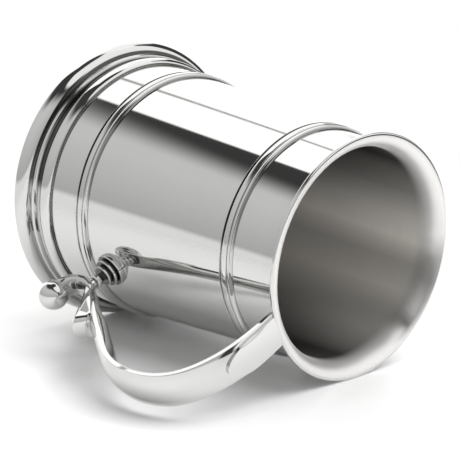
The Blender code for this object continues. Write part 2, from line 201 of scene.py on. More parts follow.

# Mirror finish: how clouds dim it and its darkened places, patina and painted shade, darken it; its roughness in
# plain metal and clouds, as shares of the polish, and what handling, grooves and buffing add; and the buffing's bump
# with the clouds' share in it
CLOUD_DIMMING = 0.965
GROOVE_DARKENING = 0.8
PLAIN_ROUGHNESS = 0.72
CLOUD_ROUGHNESS = 0.5
HANDLING_RANGE = (0.50, 0.78)
HANDLING_ROUGHNESS = 0.022
GROOVE_ROUGHNESS = 0.10
BUFFING_ROUGHNESS = 0.012
BUFFING_BUMP = {"Strength": 0.05, "Distance": 0.000004}
CLOUD_BUMP = 0.4

# Brushed finish: shares of fine and broad lines in its streaks, how dark and bright streaks and clouds make it, what
# they add to its roughness, and its bump
FINE_SHARE = 0.6
BROAD_SHARE = 0.4
STREAK_RANGE = (0.86, 1.08)
SATIN_DIMMING = 0.94
STREAK_ROUGHNESS = 0.16
SATIN_ROUGHNESS = 0.05
BRUSHING_BUMP = {"Strength": 0.22, "Distance": 0.00002}

# The flare in the brushed finish: shares of its depth below the lip where it starts and is full, its roughness, and
# how much of the bump it takes away
FLARE_MASK = (1.35, 0.1)
FLARE_ROUGHNESS = 0.30
FLARE_SMOOTHING = 0.85

# Camera beside the mouth's centre, in the barrel's own axes
CAMERA_PLACE = (296.640 * MM, -308.541 * MM, 351.217 * MM)
CAMERA_RIGHT = (-0.68727, 0.25446, 0.68038)
CAMERA_UP = (-0.53406, -0.81189, -0.23582)
CAMERA_LENS = 133.04
CAMERA_SENSOR = 36.0
CAMERA_REACH = 20.0

# The floor: its radius, roughness and gloss, and the distances from the mouth between which it fades to the backdrop
FLOOR_RADIUS = 4.0
FLOOR_ROUGHNESS = 0.32
FLOOR_GLOSS = 0.4
FLOOR_FADE = (0.22, 0.42)

# The softbox: its two sides, how far it hangs up, nearer and to the right, and how deep in the barrel it aims
SOFTBOX_SIZE = (1.5, 1.1)
SOFTBOX_OFFSET = (1.1, 0.10, 0.42)
SOFTBOX_AIM = 0.06

# The room that the metal shows, in degrees: bearings from the camera towards the right, elevations over the floor.
# Three numbers are both ends of a span and their softness, two are where a mask starts and is full.
WALL_GREYS = ((0.0, 0.92), (0.478, 0.92), (0.496, 0.52), (0.60, 0.62), (0.70, 0.70), (1.0, 0.70))
CEILING_EDGE = (-10.0, 5.0)
RIGHT_WALL = (42.0, 171.0, 3.0)
RIGHT_WALL_FOOT = (-10.0, -7.0)
SIDE_BOX = (57.0, 124.0, 3.0)
SIDE_BOX_HEIGHT = (-4.0, 29.0, 3.0)
FRONT_BOX = (10.0, 124.0, 3.0)
FRONT_BOX_HEIGHT = (28.0, 110.0, 3.0)
FRONT_BOX_SLANT = (68.0, 76.0)
TOP_BOX = (103.0, 171.0, 2.0)
TOP_BOX_HEIGHT = (51.0, 110.0, 2.0)
OPEN_SIDES = (-130.0, 171.0, 1.5)
BOX_TOPS = (70.0, 76.0)
PANE_SEAM = 46.0
PANE_SEAM_EDGE = (0.5, 1.1)

# The ceiling's lower edge as a slope (height, offset of the bearing, rise) and an arch (height, offset, bend), and
# the slant of the top box (bearing, fall)
CEILING_SLOPE = (49.5, 120.0, 0.08)
CEILING_ARCH = (62.0, 50.0, 0.0045)
TOP_BOX_SLANT = (141.0, 0.95)

# Brightness of the room's parts
ROOM_DARK = 0.05
BOX_WHITE = 1.1
TOP_BOX_WHITE = 1.2
PANE_WHITE = 1.4
PANE_SEAM_SHADE = 0.95

# Which way is up for the tankard as it lies, round its axis from the handle
LYING_TURN = 66.0


# --- Settings ---


def length(name, description, millimetres):
    """A size in metres, given in millimetres."""
    return FloatProperty(
        name=name, description=description, default=millimetres * MM, min=0.0, precision=5, unit="LENGTH"
    )


def share(name, description, value):
    """A part of a whole, from 0 to 1."""
    return FloatProperty(name=name, description=description, default=value, min=0.0, max=1.0, subtype="FACTOR")


def strength(name, description, value):
    """A light's strength."""
    return FloatProperty(name=name, description=description, default=value, min=0.0)


def colour(name, description, value):
    """A linear colour."""
    return FloatVectorProperty(
        name=name, description=description, default=value, size=3, min=0.0, max=1.0, subtype="COLOR"
    )


class TankardBarrelSizes(bpy.types.PropertyGroup):
    """Sizes of the spun wall and its lip."""

    height: length("Height", "From the ground to the top of the lip", 121.0)
    lip_radius: length("Lip radius", "Outer radius of the lip", 41.6)
    top_radius: length("Top radius", "Radius of the wall's taper at the lip's height", 37.0)
    foot_radius: length("Foot radius", "Radius of the wall's taper at the ground", 46.3)
    wall: length("Wall", "Thickness of the wall", 1.5)
    lip_face: length("Lip face", "Height of the lip's outer face", 1.3)
    lip_cove: length("Lip cove", "Depth of the hollow under the lip", 3.0)
    lip_flare: length("Lip flare", "Depth of the flare inside the lip", 7.0)
    lip_corner: length("Lip corner", "Rounding of the lip's outer corners", 0.5)


class TankardFootSizes(bpy.types.PropertyGroup):
    """Sizes of the moulded foot and the disc that it carries."""

    radius: length("Radius", "Outer radius of the skirt", 51.6)
    rim_width: length("Rim width", "Width of the rim that stands on the ground", 2.8)
    bulge_height: length("Bulge height", "Height of the skirt's widest ring", 0.8)
    skirt_height: length("Skirt height", "Height of the skirt", 5.0)
    groove_proud: length("Groove proud", "How far the groove over the skirt stands out from the cove", 0.9)
    bead_height: length("Bead height", "Height of the thin bead", 1.8)
    bead_proud: length("Bead proud", "How far the thin bead stands out from the cove", 1.5)
    cove_height: length("Cove height", "Height of the cove", 3.2)
    cove_wall: length("Cove wall", "Metal left behind the cove", 0.8)
    ledge_height: length("Ledge height", "Height of the ledge", 3.6)
    ledge_proud: length("Ledge proud", "How far the ledge stands out from the wall", 2.1)
    ledge_land: length("Ledge land", "Flat strip on top of the ledge", 0.6)
    seat_depth: length("Seat depth", "Depth of the seat below the ledge", 1.4)
    seat_width: length("Seat width", "Width of the seat under the wall", 3.4)
    seat_thickness: length("Seat thickness", "Thickness of the seat", 1.6)
    disc_thickness: length("Disc thickness", "Thickness of the disc that closes the barrel", 1.6)


class TankardBandSizes(bpy.types.PropertyGroup):
    """Sizes of the two reeded bands."""

    lower_height: length("Lower height", "Height of the lower band's middle", 29.6)
    upper_height: length("Upper height", "Height of the upper band's middle", 97.2)
    width: length("Width", "Height of a band", 5.2)
    proud: length("Proud", "How far the reeds stand out", 1.1)


class TankardHandleSizes(bpy.types.PropertyGroup):
    """Sizes of the strap, its spur, the tongue, the tail and the ball."""

    reach: length("Reach", "Finger room beside the lip", 41.0)
    standoff: length("Standoff", "From the wall to the strap's flat face at the stud", 10.4)
    tail_drop: length("Tail drop", "How far the tail runs down from the stud", 9.2)
    tail_reach: length("Tail reach", "How far the tail runs out", 5.8)
    tail_joint: share("Tail joint", "Part of the tail's drop that belongs to the strap", 0.45)
    rim: length("Rim", "Height of the strap's upright sides", 1.5)
    lip_half: length("Half width at the lip", "Half of the strap's width at the lip", 6.2)
    bend_half: length("Half width at the bend", "Half of the strap's width at its outer bend", 6.1)
    spur_half: length("Half width at the spur", "Half of the strap's width at the spur", 4.8)
    neck_half: length("Half width at the neck", "Half of the strap's width at the neck", 3.7)
    lip_crown: length("Crown at the lip", "Height of the round outside at the lip", 0.3)
    grip_crown: length("Crown at the grip", "Height of the round outside past the tongue", 1.2)
    bend_crown: length("Crown at the bend", "Height of the round outside at the bend", 1.5)
    spur_crown: length("Crown at the spur", "Height of the round outside at the spur", 1.8)
    neck_crown: length("Crown at the neck", "Height of the round outside at the neck", 1.7)
    belly: length("Belly", "How far the strap's inside swells above the stud", 2.2)
    spur_reach: length("Spur reach", "How far the spur's tip stands out from the neck", 20.6)
    spur_rise: length("Spur rise", "Height of the spur's tip over the stud", 15.4)
    spur_round: length("Spur rounding", "Rounding of the spur's tip", 3.2)
    spur_wedge: length("Half width of the spur", "Half of the spur's width over the strap", 4.5)
    spur_chamfer: length("Spur chamfer", "How far the spur narrows towards its back", 1.4)
    spur_start: share("Spur start", "Place on the strap where the spur begins", 0.76)
    spur_end: share("Spur end", "Place on the strap where the spur ends", 0.93)
    leaf_length: length("Tongue length", "Length of the raised tongue", 21.5)
    leaf_tip: length("Tongue tip", "Length of the tongue's rounded tip", 11.5)
    leaf_thickness: length("Tongue thickness", "Thickness of the tongue", 1.0)
    leaf_share: share("Tongue share", "Part of the strap's width that the tongue covers", 0.86)
    ball_radius: length("Ball radius", "Radius of the ball", 5.2)
    ball_flat: length("Ball flat", "Depth of the flat where the ball sits on the tail", 1.5)


class TankardStudSizes(bpy.types.PropertyGroup):
    """Sizes of the ringed stud, from the wall outwards."""

    height: length("Height", "Height of the stud's axis", 41.0)
    flange: length("Flange", "Radius of the flange on the wall", 6.0)
    ring: length("Ring", "Radius of the second ring", 5.0)
    collar: length("Collar", "Radius of the third ring", 3.8)
    bead: length("Bead", "Radius of the bead", 2.5)
    ring_length: length("Ring length", "Length of each ring", 1.3)
    groove_length: length("Groove length", "Length of each groove", 0.5)
    groove_depth: length("Groove depth", "Depth of each groove", 0.9)
    button: length("Button", "Radius of the button on the strap", 2.2)
    button_length: length("Button length", "Length of the button", 1.3)


class TankardFinish(bpy.types.PropertyGroup):
    """Colours and polish of the two finishes, and the gap at the joints."""

    polished: colour("Polished pewter", "Colour of the mirror finish", (0.66, 0.66, 0.648))
    # Dark colour of darkened places: patina, and also the painted shade and the painted dark reflection on the tail
    tarnish_and_shade: colour("Tarnish", "Colour of the mirror finish down in the grooves", (0.045, 0.044, 0.041))
    satin: colour("Satin pewter", "Colour of the brushed finish inside", (0.93, 0.90, 0.85))
    flare: colour("Flare", "Colour of the smooth flare inside the lip", (0.79, 0.78, 0.765))
    polish: share("Polish", "Roughness of the mirror finish", 0.05)
    brushing: share("Brushing", "Roughness of the brushed finish", 0.70)
    seam: length("Seam", "Hair gap left at each joint", 0.03)
    edge: length("Edge", "Softening of the edges", 0.22)


class TankardStage(bpy.types.PropertyGroup):
    """Floor and light of the studio."""

    floor: colour("Floor", "Colour of the floor", (0.86, 0.86, 0.86))
    key: strength("Softbox power", "Power of the softbox over the tankard, in watts", 15.5)
    room: strength("Room", "Strength of the room that the metal shows", 1.12)


class TankardSettings(bpy.types.PropertyGroup):
    """Everything that a user may change on the tankard."""

    barrel: PointerProperty(type=TankardBarrelSizes)
    foot: PointerProperty(type=TankardFootSizes)
    bands: PointerProperty(type=TankardBandSizes)
    handle: PointerProperty(type=TankardHandleSizes)
    stud: PointerProperty(type=TankardStudSizes)
    finish: PointerProperty(type=TankardFinish)
    stage: PointerProperty(type=TankardStage)


# --- Shader sums and nodes ---


class Shade:
    """A shader output that takes part in sums: each operator adds a Math node to its tree."""

    def __init__(self, nodes, output):
        self.nodes = nodes
        self.output = output

    def math(self, operation, *values):
        return self.nodes.add("ShaderNodeMath", {"operation": operation}, dict(enumerate(values)))

    def __add__(self, other):
        return self.math("ADD", self, other)

    def __radd__(self, other):
        return self.math("ADD", other, self)

    def __sub__(self, other):
        return self.math("SUBTRACT", self, other)

    def __rsub__(self, other):
        return self.math("SUBTRACT", other, self)

    def __mul__(self, other):
        return self.math("MULTIPLY", self, other)

    def __rmul__(self, other):
        return self.math("MULTIPLY", other, self)

    def __truediv__(self, other):
        return self.math("DIVIDE", self, other)

    def __rtruediv__(self, other):
        return self.math("DIVIDE", other, self)

    def __pow__(self, other):
        return self.math("POWER", self, other)

    def __abs__(self):
        return self.math("ABSOLUTE", self)


class Nodes:
    """A node tree, with one method that adds any node."""

    def __init__(self, tree):
        self.tree = tree
        tree.nodes.clear()

    def add(self, kind, settings=None, inputs=None, output=0):
        """Add a node: its settings first, then the values or links of its sockets."""
        node = self.tree.nodes.new(kind)
        for name, value in (settings or {}).items():
            if name == "stops":
                self.set_stops(node.color_ramp, value)
            else:
                setattr(node, name, value)
        for key, value in (inputs or {}).items():
            if isinstance(value, Shade):
                self.tree.links.new(value.output, node.inputs[key])
            else:
                node.inputs[key].default_value = value
        return Shade(self, node.outputs[output]) if len(node.outputs) else node

    @staticmethod
    def set_stops(ramp, stops):
        """Give a colour ramp its stops of (position, grey)."""
        while len(ramp.elements) < len(stops):
            ramp.elements.new(0.5)
        for element, (position, level) in zip(ramp.elements, stops):
            element.position = position
            element.color = grey(level)

    def mixed(self, factor, first, second, blend="MIX"):
        """Mix two colours."""
        settings = {"data_type": "RGBA", "blend_type": blend}
        return self.add("ShaderNodeMix", settings, {0: factor, 6: first, 7: second}, output=2)

    def vector(self, operation, first, second, output=0):
        """Vector Math on two vectors."""
        return self.add("ShaderNodeVectorMath", {"operation": operation}, {0: first, 1: second}, output)

    def eased(self, value, low, high, start=0.0, end=1.0):
        """Smooth step of a value from one range to another."""
        settings = {"interpolation_type": "SMOOTHSTEP"}
        return self.add("ShaderNodeMapRange", settings, {0: value, 1: low, 2: high, 3: start, 4: end})

    def split(self, vector):
        """The three parts of a vector."""
        parts = self.add("ShaderNodeSeparateXYZ", None, {0: vector})
        node = parts.output.node
        return tuple(Shade(self, node.outputs[i]) for i in range(3))

    def noise(self, vector, scale, detail=2.0, roughness=0.5, dimensions="3D"):
        """Noise from 0 to 1 at a scale per metre."""
        settings = {"noise_dimensions": dimensions}
        inputs = {"Vector": vector, "Scale": scale, "Detail": detail, "Roughness": roughness}
        return self.add("ShaderNodeTexNoise", settings, inputs)

    def span(self, value, low, high, soft):
        """Mask that is 1 between two values, with soft ends."""
        rise = self.eased(value, low - soft, low + soft)
        return rise * (1.0 - self.eased(value, high - soft, high + soft))

    def metal(self, base, rough, bump, lines, sockets=None):
        """Bare metal with fine lines in its surface, as the material's output."""
        normal = self.add("ShaderNodeBump", None, {**bump, "Height": lines})
        inputs = {"Base Color": base, "Roughness": rough, "Metallic": 1.0, "Normal": normal, **(sockets or {})}
        shader = self.add("ShaderNodeBsdfPrincipled", None, inputs)
        self.add("ShaderNodeOutputMaterial", None, {"Surface": shader})


def rgba(value, level=1.0):
    """A colour property as four numbers, dimmed or brightened to a level."""
    return (value[0] * level, value[1] * level, value[2] * level, 1.0)


def grey(level):
    """A grey as four numbers."""
    return rgba((level, level, level))


def axis_coordinates(nodes):
    """Object coordinates with the barrel's axis at their middle, and their distance round and along it."""
    place = nodes.add("ShaderNodeTexCoord", None, None, output=3)
    centred = nodes.vector("SUBTRACT", place, (AXIS_X, 0.0, 0.0))
    x, y, z = nodes.split(centred)
    bearing = x.math("ARCTAN2", y, x)
    return centred, bearing, z


def brushed_vector(nodes, bearing, height, across, along):
    """Coordinates for lines that run round the barrel: fine along its height and long round its girth."""
    inputs = {0: bearing * along, 1: height * across, 2: 0.0}
    return nodes.add("ShaderNodeCombineXYZ", None, inputs)


def new_material(name):
    """A new material, and the nodes of its empty tree."""
    material = bpy.data.materials.new(name)
    material.use_nodes = True
    return material, Nodes(material.node_tree)


def polished_pewter(finish):
    """Mirror finish with hair-fine buffing lines, faint handling marks, and a dark colour where it is darkened: in
    hollows, as painted shade over patina on the foot and the bands, and as a painted dark reflection on the tail.
    """
    material = bpy.data.materials.get("polished_pewter_finish")
    if material is not None:
        return material
    material, nodes = new_material("polished_pewter_finish")
    place, bearing, height = axis_coordinates(nodes)
    recess = nodes.add("ShaderNodeAttribute", {"attribute_name": "recess"}, None, output=2)
    clouds = nodes.noise(place, POLISH_CLOUDS, detail=3.0, roughness=0.55)
    handling = nodes.eased(nodes.noise(place, HANDLING_MARKS, detail=4.0, roughness=0.6), *HANDLING_RANGE)
    lines = nodes.noise(brushed_vector(nodes, bearing, height, *BUFFING), 1.0, detail=1.0)

    plain = nodes.mixed(clouds, rgba(finish.polished), rgba(finish.polished, CLOUD_DIMMING))
    # Darkened places pull the colour towards the dark colour: painted shade on the foot and the bands, a painted dark
    # reflection on the tail
    base = nodes.mixed(recess * GROOVE_DARKENING, plain, rgba(finish.tarnish_and_shade))
    rough = finish.polish * PLAIN_ROUGHNESS + clouds * (finish.polish * CLOUD_ROUGHNESS)
    rough = rough + handling * HANDLING_ROUGHNESS + recess * GROOVE_ROUGHNESS
    rough = rough + (lines - 0.5) * BUFFING_ROUGHNESS
    nodes.metal(base, rough, BUFFING_BUMP, lines + clouds * CLOUD_BUMP)
    return material


def satin_pewter(finish, barrel):
    """Brushed finish whose lines run round the inside, smoother and brighter on the lip's flare, with painted
    reflection and shade by bearing round the axis in its base colour.
    """
    material = bpy.data.materials.get("satin_pewter_finish")
    if material is not None:
        return material
    material, nodes = new_material("satin_pewter_finish")
    place, bearing, height = axis_coordinates(nodes)
    x, y, _ = nodes.split(place)
    reach = (x * x + y * y) ** 0.5
    path = height + reach
    clouds = nodes.noise(place, SATIN_CLOUDS, detail=3.0, roughness=0.6)
    fine = nodes.noise(brushed_vector(nodes, bearing, path, *FINE_BRUSHING), 1.0, detail=2.0)
    broad = nodes.noise(brushed_vector(nodes, bearing, path, *BROAD_BRUSHING), 1.0, detail=2.0)
    flare_start, flare_full = (barrel.height - part * barrel.lip_flare for part in FLARE_MASK)
    flare = nodes.eased(height, flare_start, flare_full)

    streaks = FINE_SHARE * fine + BROAD_SHARE * broad
    dark, bright = (rgba(finish.satin, level) for level in STREAK_RANGE)
    streaked = nodes.mixed(streaks, dark, bright)
    clouded = nodes.mixed(clouds, streaked, rgba(finish.satin, SATIN_DIMMING))
    around = bearing / (2.0 * math.pi) + 0.5
    # Painted reflection and shade: the base colour brightened and darkened by bearing round the axis, inside and on
    # the flare
    painted_reflection = nodes.add("ShaderNodeValToRGB", {"stops": PAINTED_SATIN_REFLECTION}, {0: around})
    painted_flare_reflection = nodes.add("ShaderNodeValToRGB", {"stops": PAINTED_FLARE_REFLECTION}, {0: around})
    # Painted reflection on the flare, in the flare's own colour
    rim = nodes.mixed(1.0, painted_flare_reflection, rgba(finish.flare), "MULTIPLY")
    base = nodes.mixed(flare, nodes.mixed(1.0, clouded, painted_reflection, "MULTIPLY"), rim)
    rough = finish.brushing + (streaks - 0.5) * STREAK_ROUGHNESS + (clouds - 0.5) * SATIN_ROUGHNESS
    rough = rough * (1.0 - flare) + FLARE_ROUGHNESS * flare
    relief = streaks * (1.0 - FLARE_SMOOTHING * flare)
    nodes.metal(base, rough, BRUSHING_BUMP, relief, {"Anisotropic": 1.0, "Anisotropic Rotation": 0.25})
    return material


# --- Mesh tools ---


class Lathe:
    """Half section of a turned piece, drawn in the XZ plane and spun a full turn about Z."""

    def __init__(self):
        self.bm = bmesh.new()
        self.first = None
        self.tip = None

    def join(self, vert):
        """Draw an edge from the last point to a vertex."""
        if self.tip is None:
            self.first = vert
        else:
            self.bm.edges.new((self.tip, vert))
        self.tip = vert

    def to(self, radius, height):
        """Straight line to a point."""
        self.join(self.bm.verts.new((radius, 0.0, height)))
        return self

    def arc(self, centre, reach, start, end, steps=ARC_STEPS):
        """Elliptical arc: a vertex spun about a centre and stretched to its radial and upright half-axes."""
        known = len(self.bm.verts)
        angle = math.radians(start)
        begin = self.bm.verts.new((math.cos(angle), 0.0, math.sin(angle)))
        spun = bmesh.ops.spin(
            self.bm,
            geom=[begin],
            cent=(0.0, 0.0, 0.0),
            axis=(0.0, -1.0, 0.0),
            angle=math.radians(end - start),
            steps=steps,
        )
        self.bm.verts.ensure_lookup_table()
        drawn = self.bm.verts[known:]
        bmesh.ops.scale(self.bm, vec=(reach[0], 1.0, reach[1]), verts=drawn)
        bmesh.ops.translate(self.bm, vec=(centre[0], 0.0, centre[1]), verts=drawn)
        self.join(begin)
        self.tip = next(item for item in spun["geom_last"] if isinstance(item, bmesh.types.BMVert))
        return self

    def spun(self, sides=TURNED_SIDES, closed=True):
        """Spin the section about Z and return its closed bmesh."""
        bm = self.bm
        if closed:
            bm.edges.new((self.tip, self.first))
        bmesh.ops.remove_doubles(bm, verts=bm.verts, dist=DOUBLE)
        for edge in [edge for edge in bm.edges if edge.calc_length() > 4.0 * SUPPORT]:
            self.support(edge)
        bmesh.ops.spin(
            bm,
            geom=bm.verts[:] + bm.edges[:],
            cent=(0.0, 0.0, 0.0),
            axis=(0.0, 0.0, 1.0),
            angle=2.0 * math.pi,
            steps=sides,
            use_merge=True,
        )
        return closed_mesh(bm)

    def support(self, edge):
        """Cut a long edge of the section near both ends, and evenly between, so that its shading stays straight."""
        ends = [vert.co.copy() for vert in edge.verts]
        span = edge.calc_length()
        cuts = max(2, int(span / PROFILE_STEP) + 1)
        made = bmesh.ops.subdivide_edges(self.bm, edges=[edge], cuts=cuts)
        inner = [item for item in made["geom_inner"] if isinstance(item, bmesh.types.BMVert)]
        inner.sort(key=lambda vert: (vert.co - ends[0]).length)
        inner[0].co = ends[0].lerp(ends[1], SUPPORT / span)
        inner[-1].co = ends[1].lerp(ends[0], SUPPORT / span)


def closed_mesh(bm):
    """Merge what spin and bridge left double, and point all faces outwards."""
    bmesh.ops.remove_doubles(bm, verts=bm.verts, dist=DOUBLE)
    bmesh.ops.recalc_face_normals(bm, faces=bm.faces)
    return bm


def soften(bm, width, degrees=32.0, segments=3):
    """Bevel every edge that is sharper than an angle."""
    limit = math.radians(degrees)
    sharp = [edge for edge in bm.edges if edge.is_manifold and edge.calc_face_angle() > limit]
    bmesh.ops.bevel(
        bm,
        geom=sharp,
        offset=width,
        offset_type="OFFSET",
        affect="EDGES",
        segments=segments,
        profile=0.5,
        material=-1,
        clamp_overlap=True,
    )


def mark_inside(bm, limit):
    """Give the second material to the faces that look towards the axis by more than a limit."""
    for face in bm.faces:
        middle = face.calc_center_median()
        inward = face.normal.x * middle.x + face.normal.y * middle.y
        face.material_index = 1 if inward < -limit else 0


def lofted(bm, rings):
    """Bridge rings of edges in a row and close both ends."""
    for first, second in zip(rings, rings[1:]):
        bmesh.ops.bridge_loops(bm, edges=first + second)
    bmesh.ops.holes_fill(bm, edges=[edge for edge in bm.edges if edge.is_boundary])
    return closed_mesh(bm)


def mark_recesses(bm, darkening=None):
    """Store on each vertex how hollow the surface is there, evened out over its neighbours, or the piece's darkening
    if more, which is painted shade on the foot and the bands and a painted dark reflection on the tail.
    """
    bm.verts.ensure_lookup_table()
    bm.verts.index_update()
    hollow = np.zeros(len(bm.verts))
    for edge in bm.edges:
        if edge.is_manifold:
            bend = -edge.calc_face_angle_signed()
            if bend > RECESS_BEND:
                area = max(face.calc_area() for face in edge.link_faces)
                depth = bend / max(area, RECESS_AREA) ** 0.5
                for vert in edge.verts:
                    hollow[vert.index] = max(hollow[vert.index], depth * RECESS_SIZE)
    hollow = np.clip(hollow, 0.0, 1.0)
    first = np.array([edge.verts[0].index for edge in bm.edges])
    second = np.array([edge.verts[1].index for edge in bm.edges])
    for _ in range(RECESS_PASSES):
        total, count = hollow.copy(), np.ones(len(hollow))
        np.add.at(total, first, hollow[second])
        np.add.at(total, second, hollow[first])
        np.add.at(count, first, 1.0)
        np.add.at(count, second, 1.0)
        hollow = total / count
    layer = bm.verts.layers.float.new("recess")
    for vert in bm.verts:
        vert[layer] = max(hollow[vert.index], darkening(vert.co) if darkening else 0.0)


def finished(name, bm, materials, node, darkening=None):
    """Turn a closed bmesh into a smooth piece on the barrel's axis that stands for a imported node."""
    bmesh.ops.dissolve_degenerate(bm, edges=bm.edges, dist=DEGENERATE)
    mark_recesses(bm, darkening)
    bmesh.ops.translate(bm, vec=(AXIS_X, 0.0, 0.0), verts=bm.verts)
    mesh = bpy.data.meshes.new(name)
    bm.to_mesh(mesh)
    bm.free()
    mesh.shade_smooth()
    mesh.set_sharp_from_angle(angle=math.radians(SHARP))
    for material in materials:
        mesh.materials.append(material)
    piece = bpy.data.objects.new(name, mesh)
    bpy.context.scene.collection.objects.link(piece)
    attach(piece, "root")
    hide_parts(node)
    return piece


# --- Shape of the tankard ---


def wall_radius(barrel, height):
    """Outer radius of the barrel's straight taper."""
    return barrel.foot_radius + (barrel.top_radius - barrel.foot_radius) * height / barrel.height


def foot_top(foot):
    """Height of the ledge where the foot meets the plain wall."""
    return foot.skirt_height + foot.bead_height + foot.cove_height + foot.ledge_height


def wall_bottom(foot):
    """Height of the wall's lower edge, on the seat inside the foot."""
    return foot_top(foot) - foot.ledge_height - foot.seat_depth


def outside_radius(barrel, height):
    """Outer radius of the barrel with the cove under its lip."""
    cove_top = barrel.height - barrel.lip_face
    cove_bottom = cove_top - barrel.lip_cove
    if height <= cove_bottom:
        return wall_radius(barrel, height)
    if height >= cove_top:
        return barrel.lip_radius
    root = wall_radius(barrel, cove_bottom)
    reach = barrel.lip_radius - barrel.lip_corner - root
    rise = (height - cove_bottom) / barrel.lip_cove
    return root + reach - reach * math.sqrt(1.0 - rise * rise)


def patina_and_shade_share(place):
    """How much patina and painted shade there is at a place round the axis: the painted shade lies only between the
    given turns, so there is less on the handle's side.
    """
    bearing = math.degrees(math.atan2(place.y, place.x)) % 360.0
    rise = min(max(0.5 + (bearing - PAINTED_SHADE_TURN[0]) / PAINTED_SHADE_SOFT[0], 0.0), 1.0)
    fall = min(max(0.5 + (PAINTED_SHADE_TURN[1] - bearing) / PAINTED_SHADE_SOFT[1], 0.0), 1.0)
    return PATINA_LEFT + (1.0 - PATINA_LEFT) * rise * fall


def press_on_wall(barrel, verts, gap):
    """Move vertices along X until they lie on the outside of the barrel."""
    for vert in verts:
        radius = outside_radius(barrel, vert.co.z) + gap
        vert.co.x = math.sqrt(radius * radius - vert.co.y * vert.co.y)


def spline(points, steps):
    """Natural cubic spline through points, read at evenly spaced chord lengths."""
    points = np.array(points, float)
    chords = np.linalg.norm(np.diff(points, axis=0), axis=1)
    knots = np.concatenate([[0.0], np.cumsum(chords)])
    count = len(points)
    system = np.eye(count)
    right = np.zeros_like(points)
    for i in range(1, count - 1):
        system[i, i - 1 : i + 2] = chords[i - 1], 2.0 * (chords[i - 1] + chords[i]), chords[i]
        rise = (points[i + 1] - points[i]) / chords[i] - (points[i] - points[i - 1]) / chords[i - 1]
        right[i] = 6.0 * rise
    bends = np.linalg.solve(system, right)
    places = np.linspace(0.0, knots[-1], steps + 1)
    spans = np.clip(np.searchsorted(knots, places, side="right") - 1, 0, count - 2)
    span = chords[spans][:, None]
    after = (places - knots[spans])[:, None]
    before = span - after
    curve = bends[spans] * before**3 / (6.0 * span) + bends[spans + 1] * after**3 / (6.0 * span)
    curve += (points[spans] / span - bends[spans] * span / 6.0) * before
    curve += (points[spans + 1] / span - bends[spans + 1] * span / 6.0) * after
    return curve


class HandlePath:
    """The handle's flat inner face in its own plane, from the lip to the end of the tail."""

    def __init__(self, settings):
        barrel, handle, stud = settings.barrel, settings.handle, settings.stud
        self.handle = handle
        drop = barrel.height - stud.height
        points = [
            (barrel.lip_radius + handle.reach * out, barrel.height - drop * down) for out, down in LOOP_POINTS
        ]
        self.neck = wall_radius(barrel, stud.height) + handle.standoff
        for out, down in TAIL_POINTS:
            points.append((self.neck + handle.tail_reach * out, stud.height - handle.tail_drop * down))
        self.points = spline(points, PATH_STEPS)
        steps = np.linalg.norm(np.diff(self.points, axis=0), axis=1)
        self.lengths = np.concatenate([[0.0], np.cumsum(steps)])
        along = np.gradient(self.points, axis=0)
        along /= np.linalg.norm(along, axis=1)[:, None]
        self.normals = np.column_stack([-along[:, 1], along[:, 0]])
        near = PATH_STEPS // 4
        lip = barrel.lip_radius + STRAP_GAP
        self.start = float(np.interp(lip, self.points[:near, 0], self.lengths[:near]))
        level = stud.height - handle.tail_joint * handle.tail_drop
        self.joint = float(np.interp(-level, -self.points[:, 1], self.lengths))
        self.end = float(self.lengths[-1])

    def at(self, station):
        """Point and outward normal at a length along the path."""
        point = np.array([np.interp(station, self.lengths, self.points[:, i]) for i in range(2)])
        normal = np.array([np.interp(station, self.lengths, self.normals[:, i]) for i in range(2)])
        return point, normal / np.linalg.norm(normal)

    def sizes(self, station):
        """Half width, crown and belly of the strap at a length, with their changes evened out."""
        handle = self.handle
        widths = (handle.lip_half, handle.lip_half, handle.bend_half, handle.spur_half, handle.neck_half)
        crowns = (
            handle.lip_crown,
            handle.grip_crown,
            handle.bend_crown,
            handle.bend_crown,
            handle.spur_crown,
            handle.neck_crown,
        )
        near = station / self.joint + SIZE_SPAN
        half = np.interp(near, WIDTH_PLACES, widths).mean()
        crown = np.interp(near, CROWN_PLACES, crowns).mean()
        belly = np.interp(near, BELLY_PLACES, (0.0, handle.belly, handle.belly, 0.0)).mean()
        return float(half), float(crown), float(belly)


def crown_arc(half, crown):
    """Radius and half angle of the shallow arc that the strap's outside follows from rim to rim."""
    bend = 2.0 * math.atan(crown / half)
    return half / math.sin(bend), bend


def crown_rise(across, half, crown):
    """Height of the strap's outside over its rims, at a place across it."""
    radius, bend = crown_arc(half, crown)
    return math.sqrt(radius * radius - across * across) - radius * math.cos(bend)


def strap_ring(bm, place, out, rim, sizes):
    """Edges of one strap section: a circle with upright rims, round outside and flat or swelling inside."""
    half, crown, belly = sizes
    ring = bmesh.ops.create_circle(bm, segments=STRAP_POINTS, radius=1.0)["verts"]
    for vert in ring:
        across, up = vert.co.x, vert.co.y
        if up >= 0.0:
            radius, bend = crown_arc(half, crown)
            across = radius * math.sin(bend * (1.0 - 2.0 * math.atan2(up, across) / math.pi))
            rise = rim + crown_rise(across, half, crown)
        else:
            corner = max(abs(across), -up)
            swell = max(corner - abs(across), 0.0) / corner
            across *= half / corner
            rise = rim + rim * up / corner - belly * (1.0 - (1.0 - swell) ** 2)
        vert.co = (place[0] + out[0] * rise, across, place[1] + out[1] * rise)
    return list({edge for vert in ring for edge in vert.link_edges})


# --- Operators, one for each piece or pair of like pieces ---


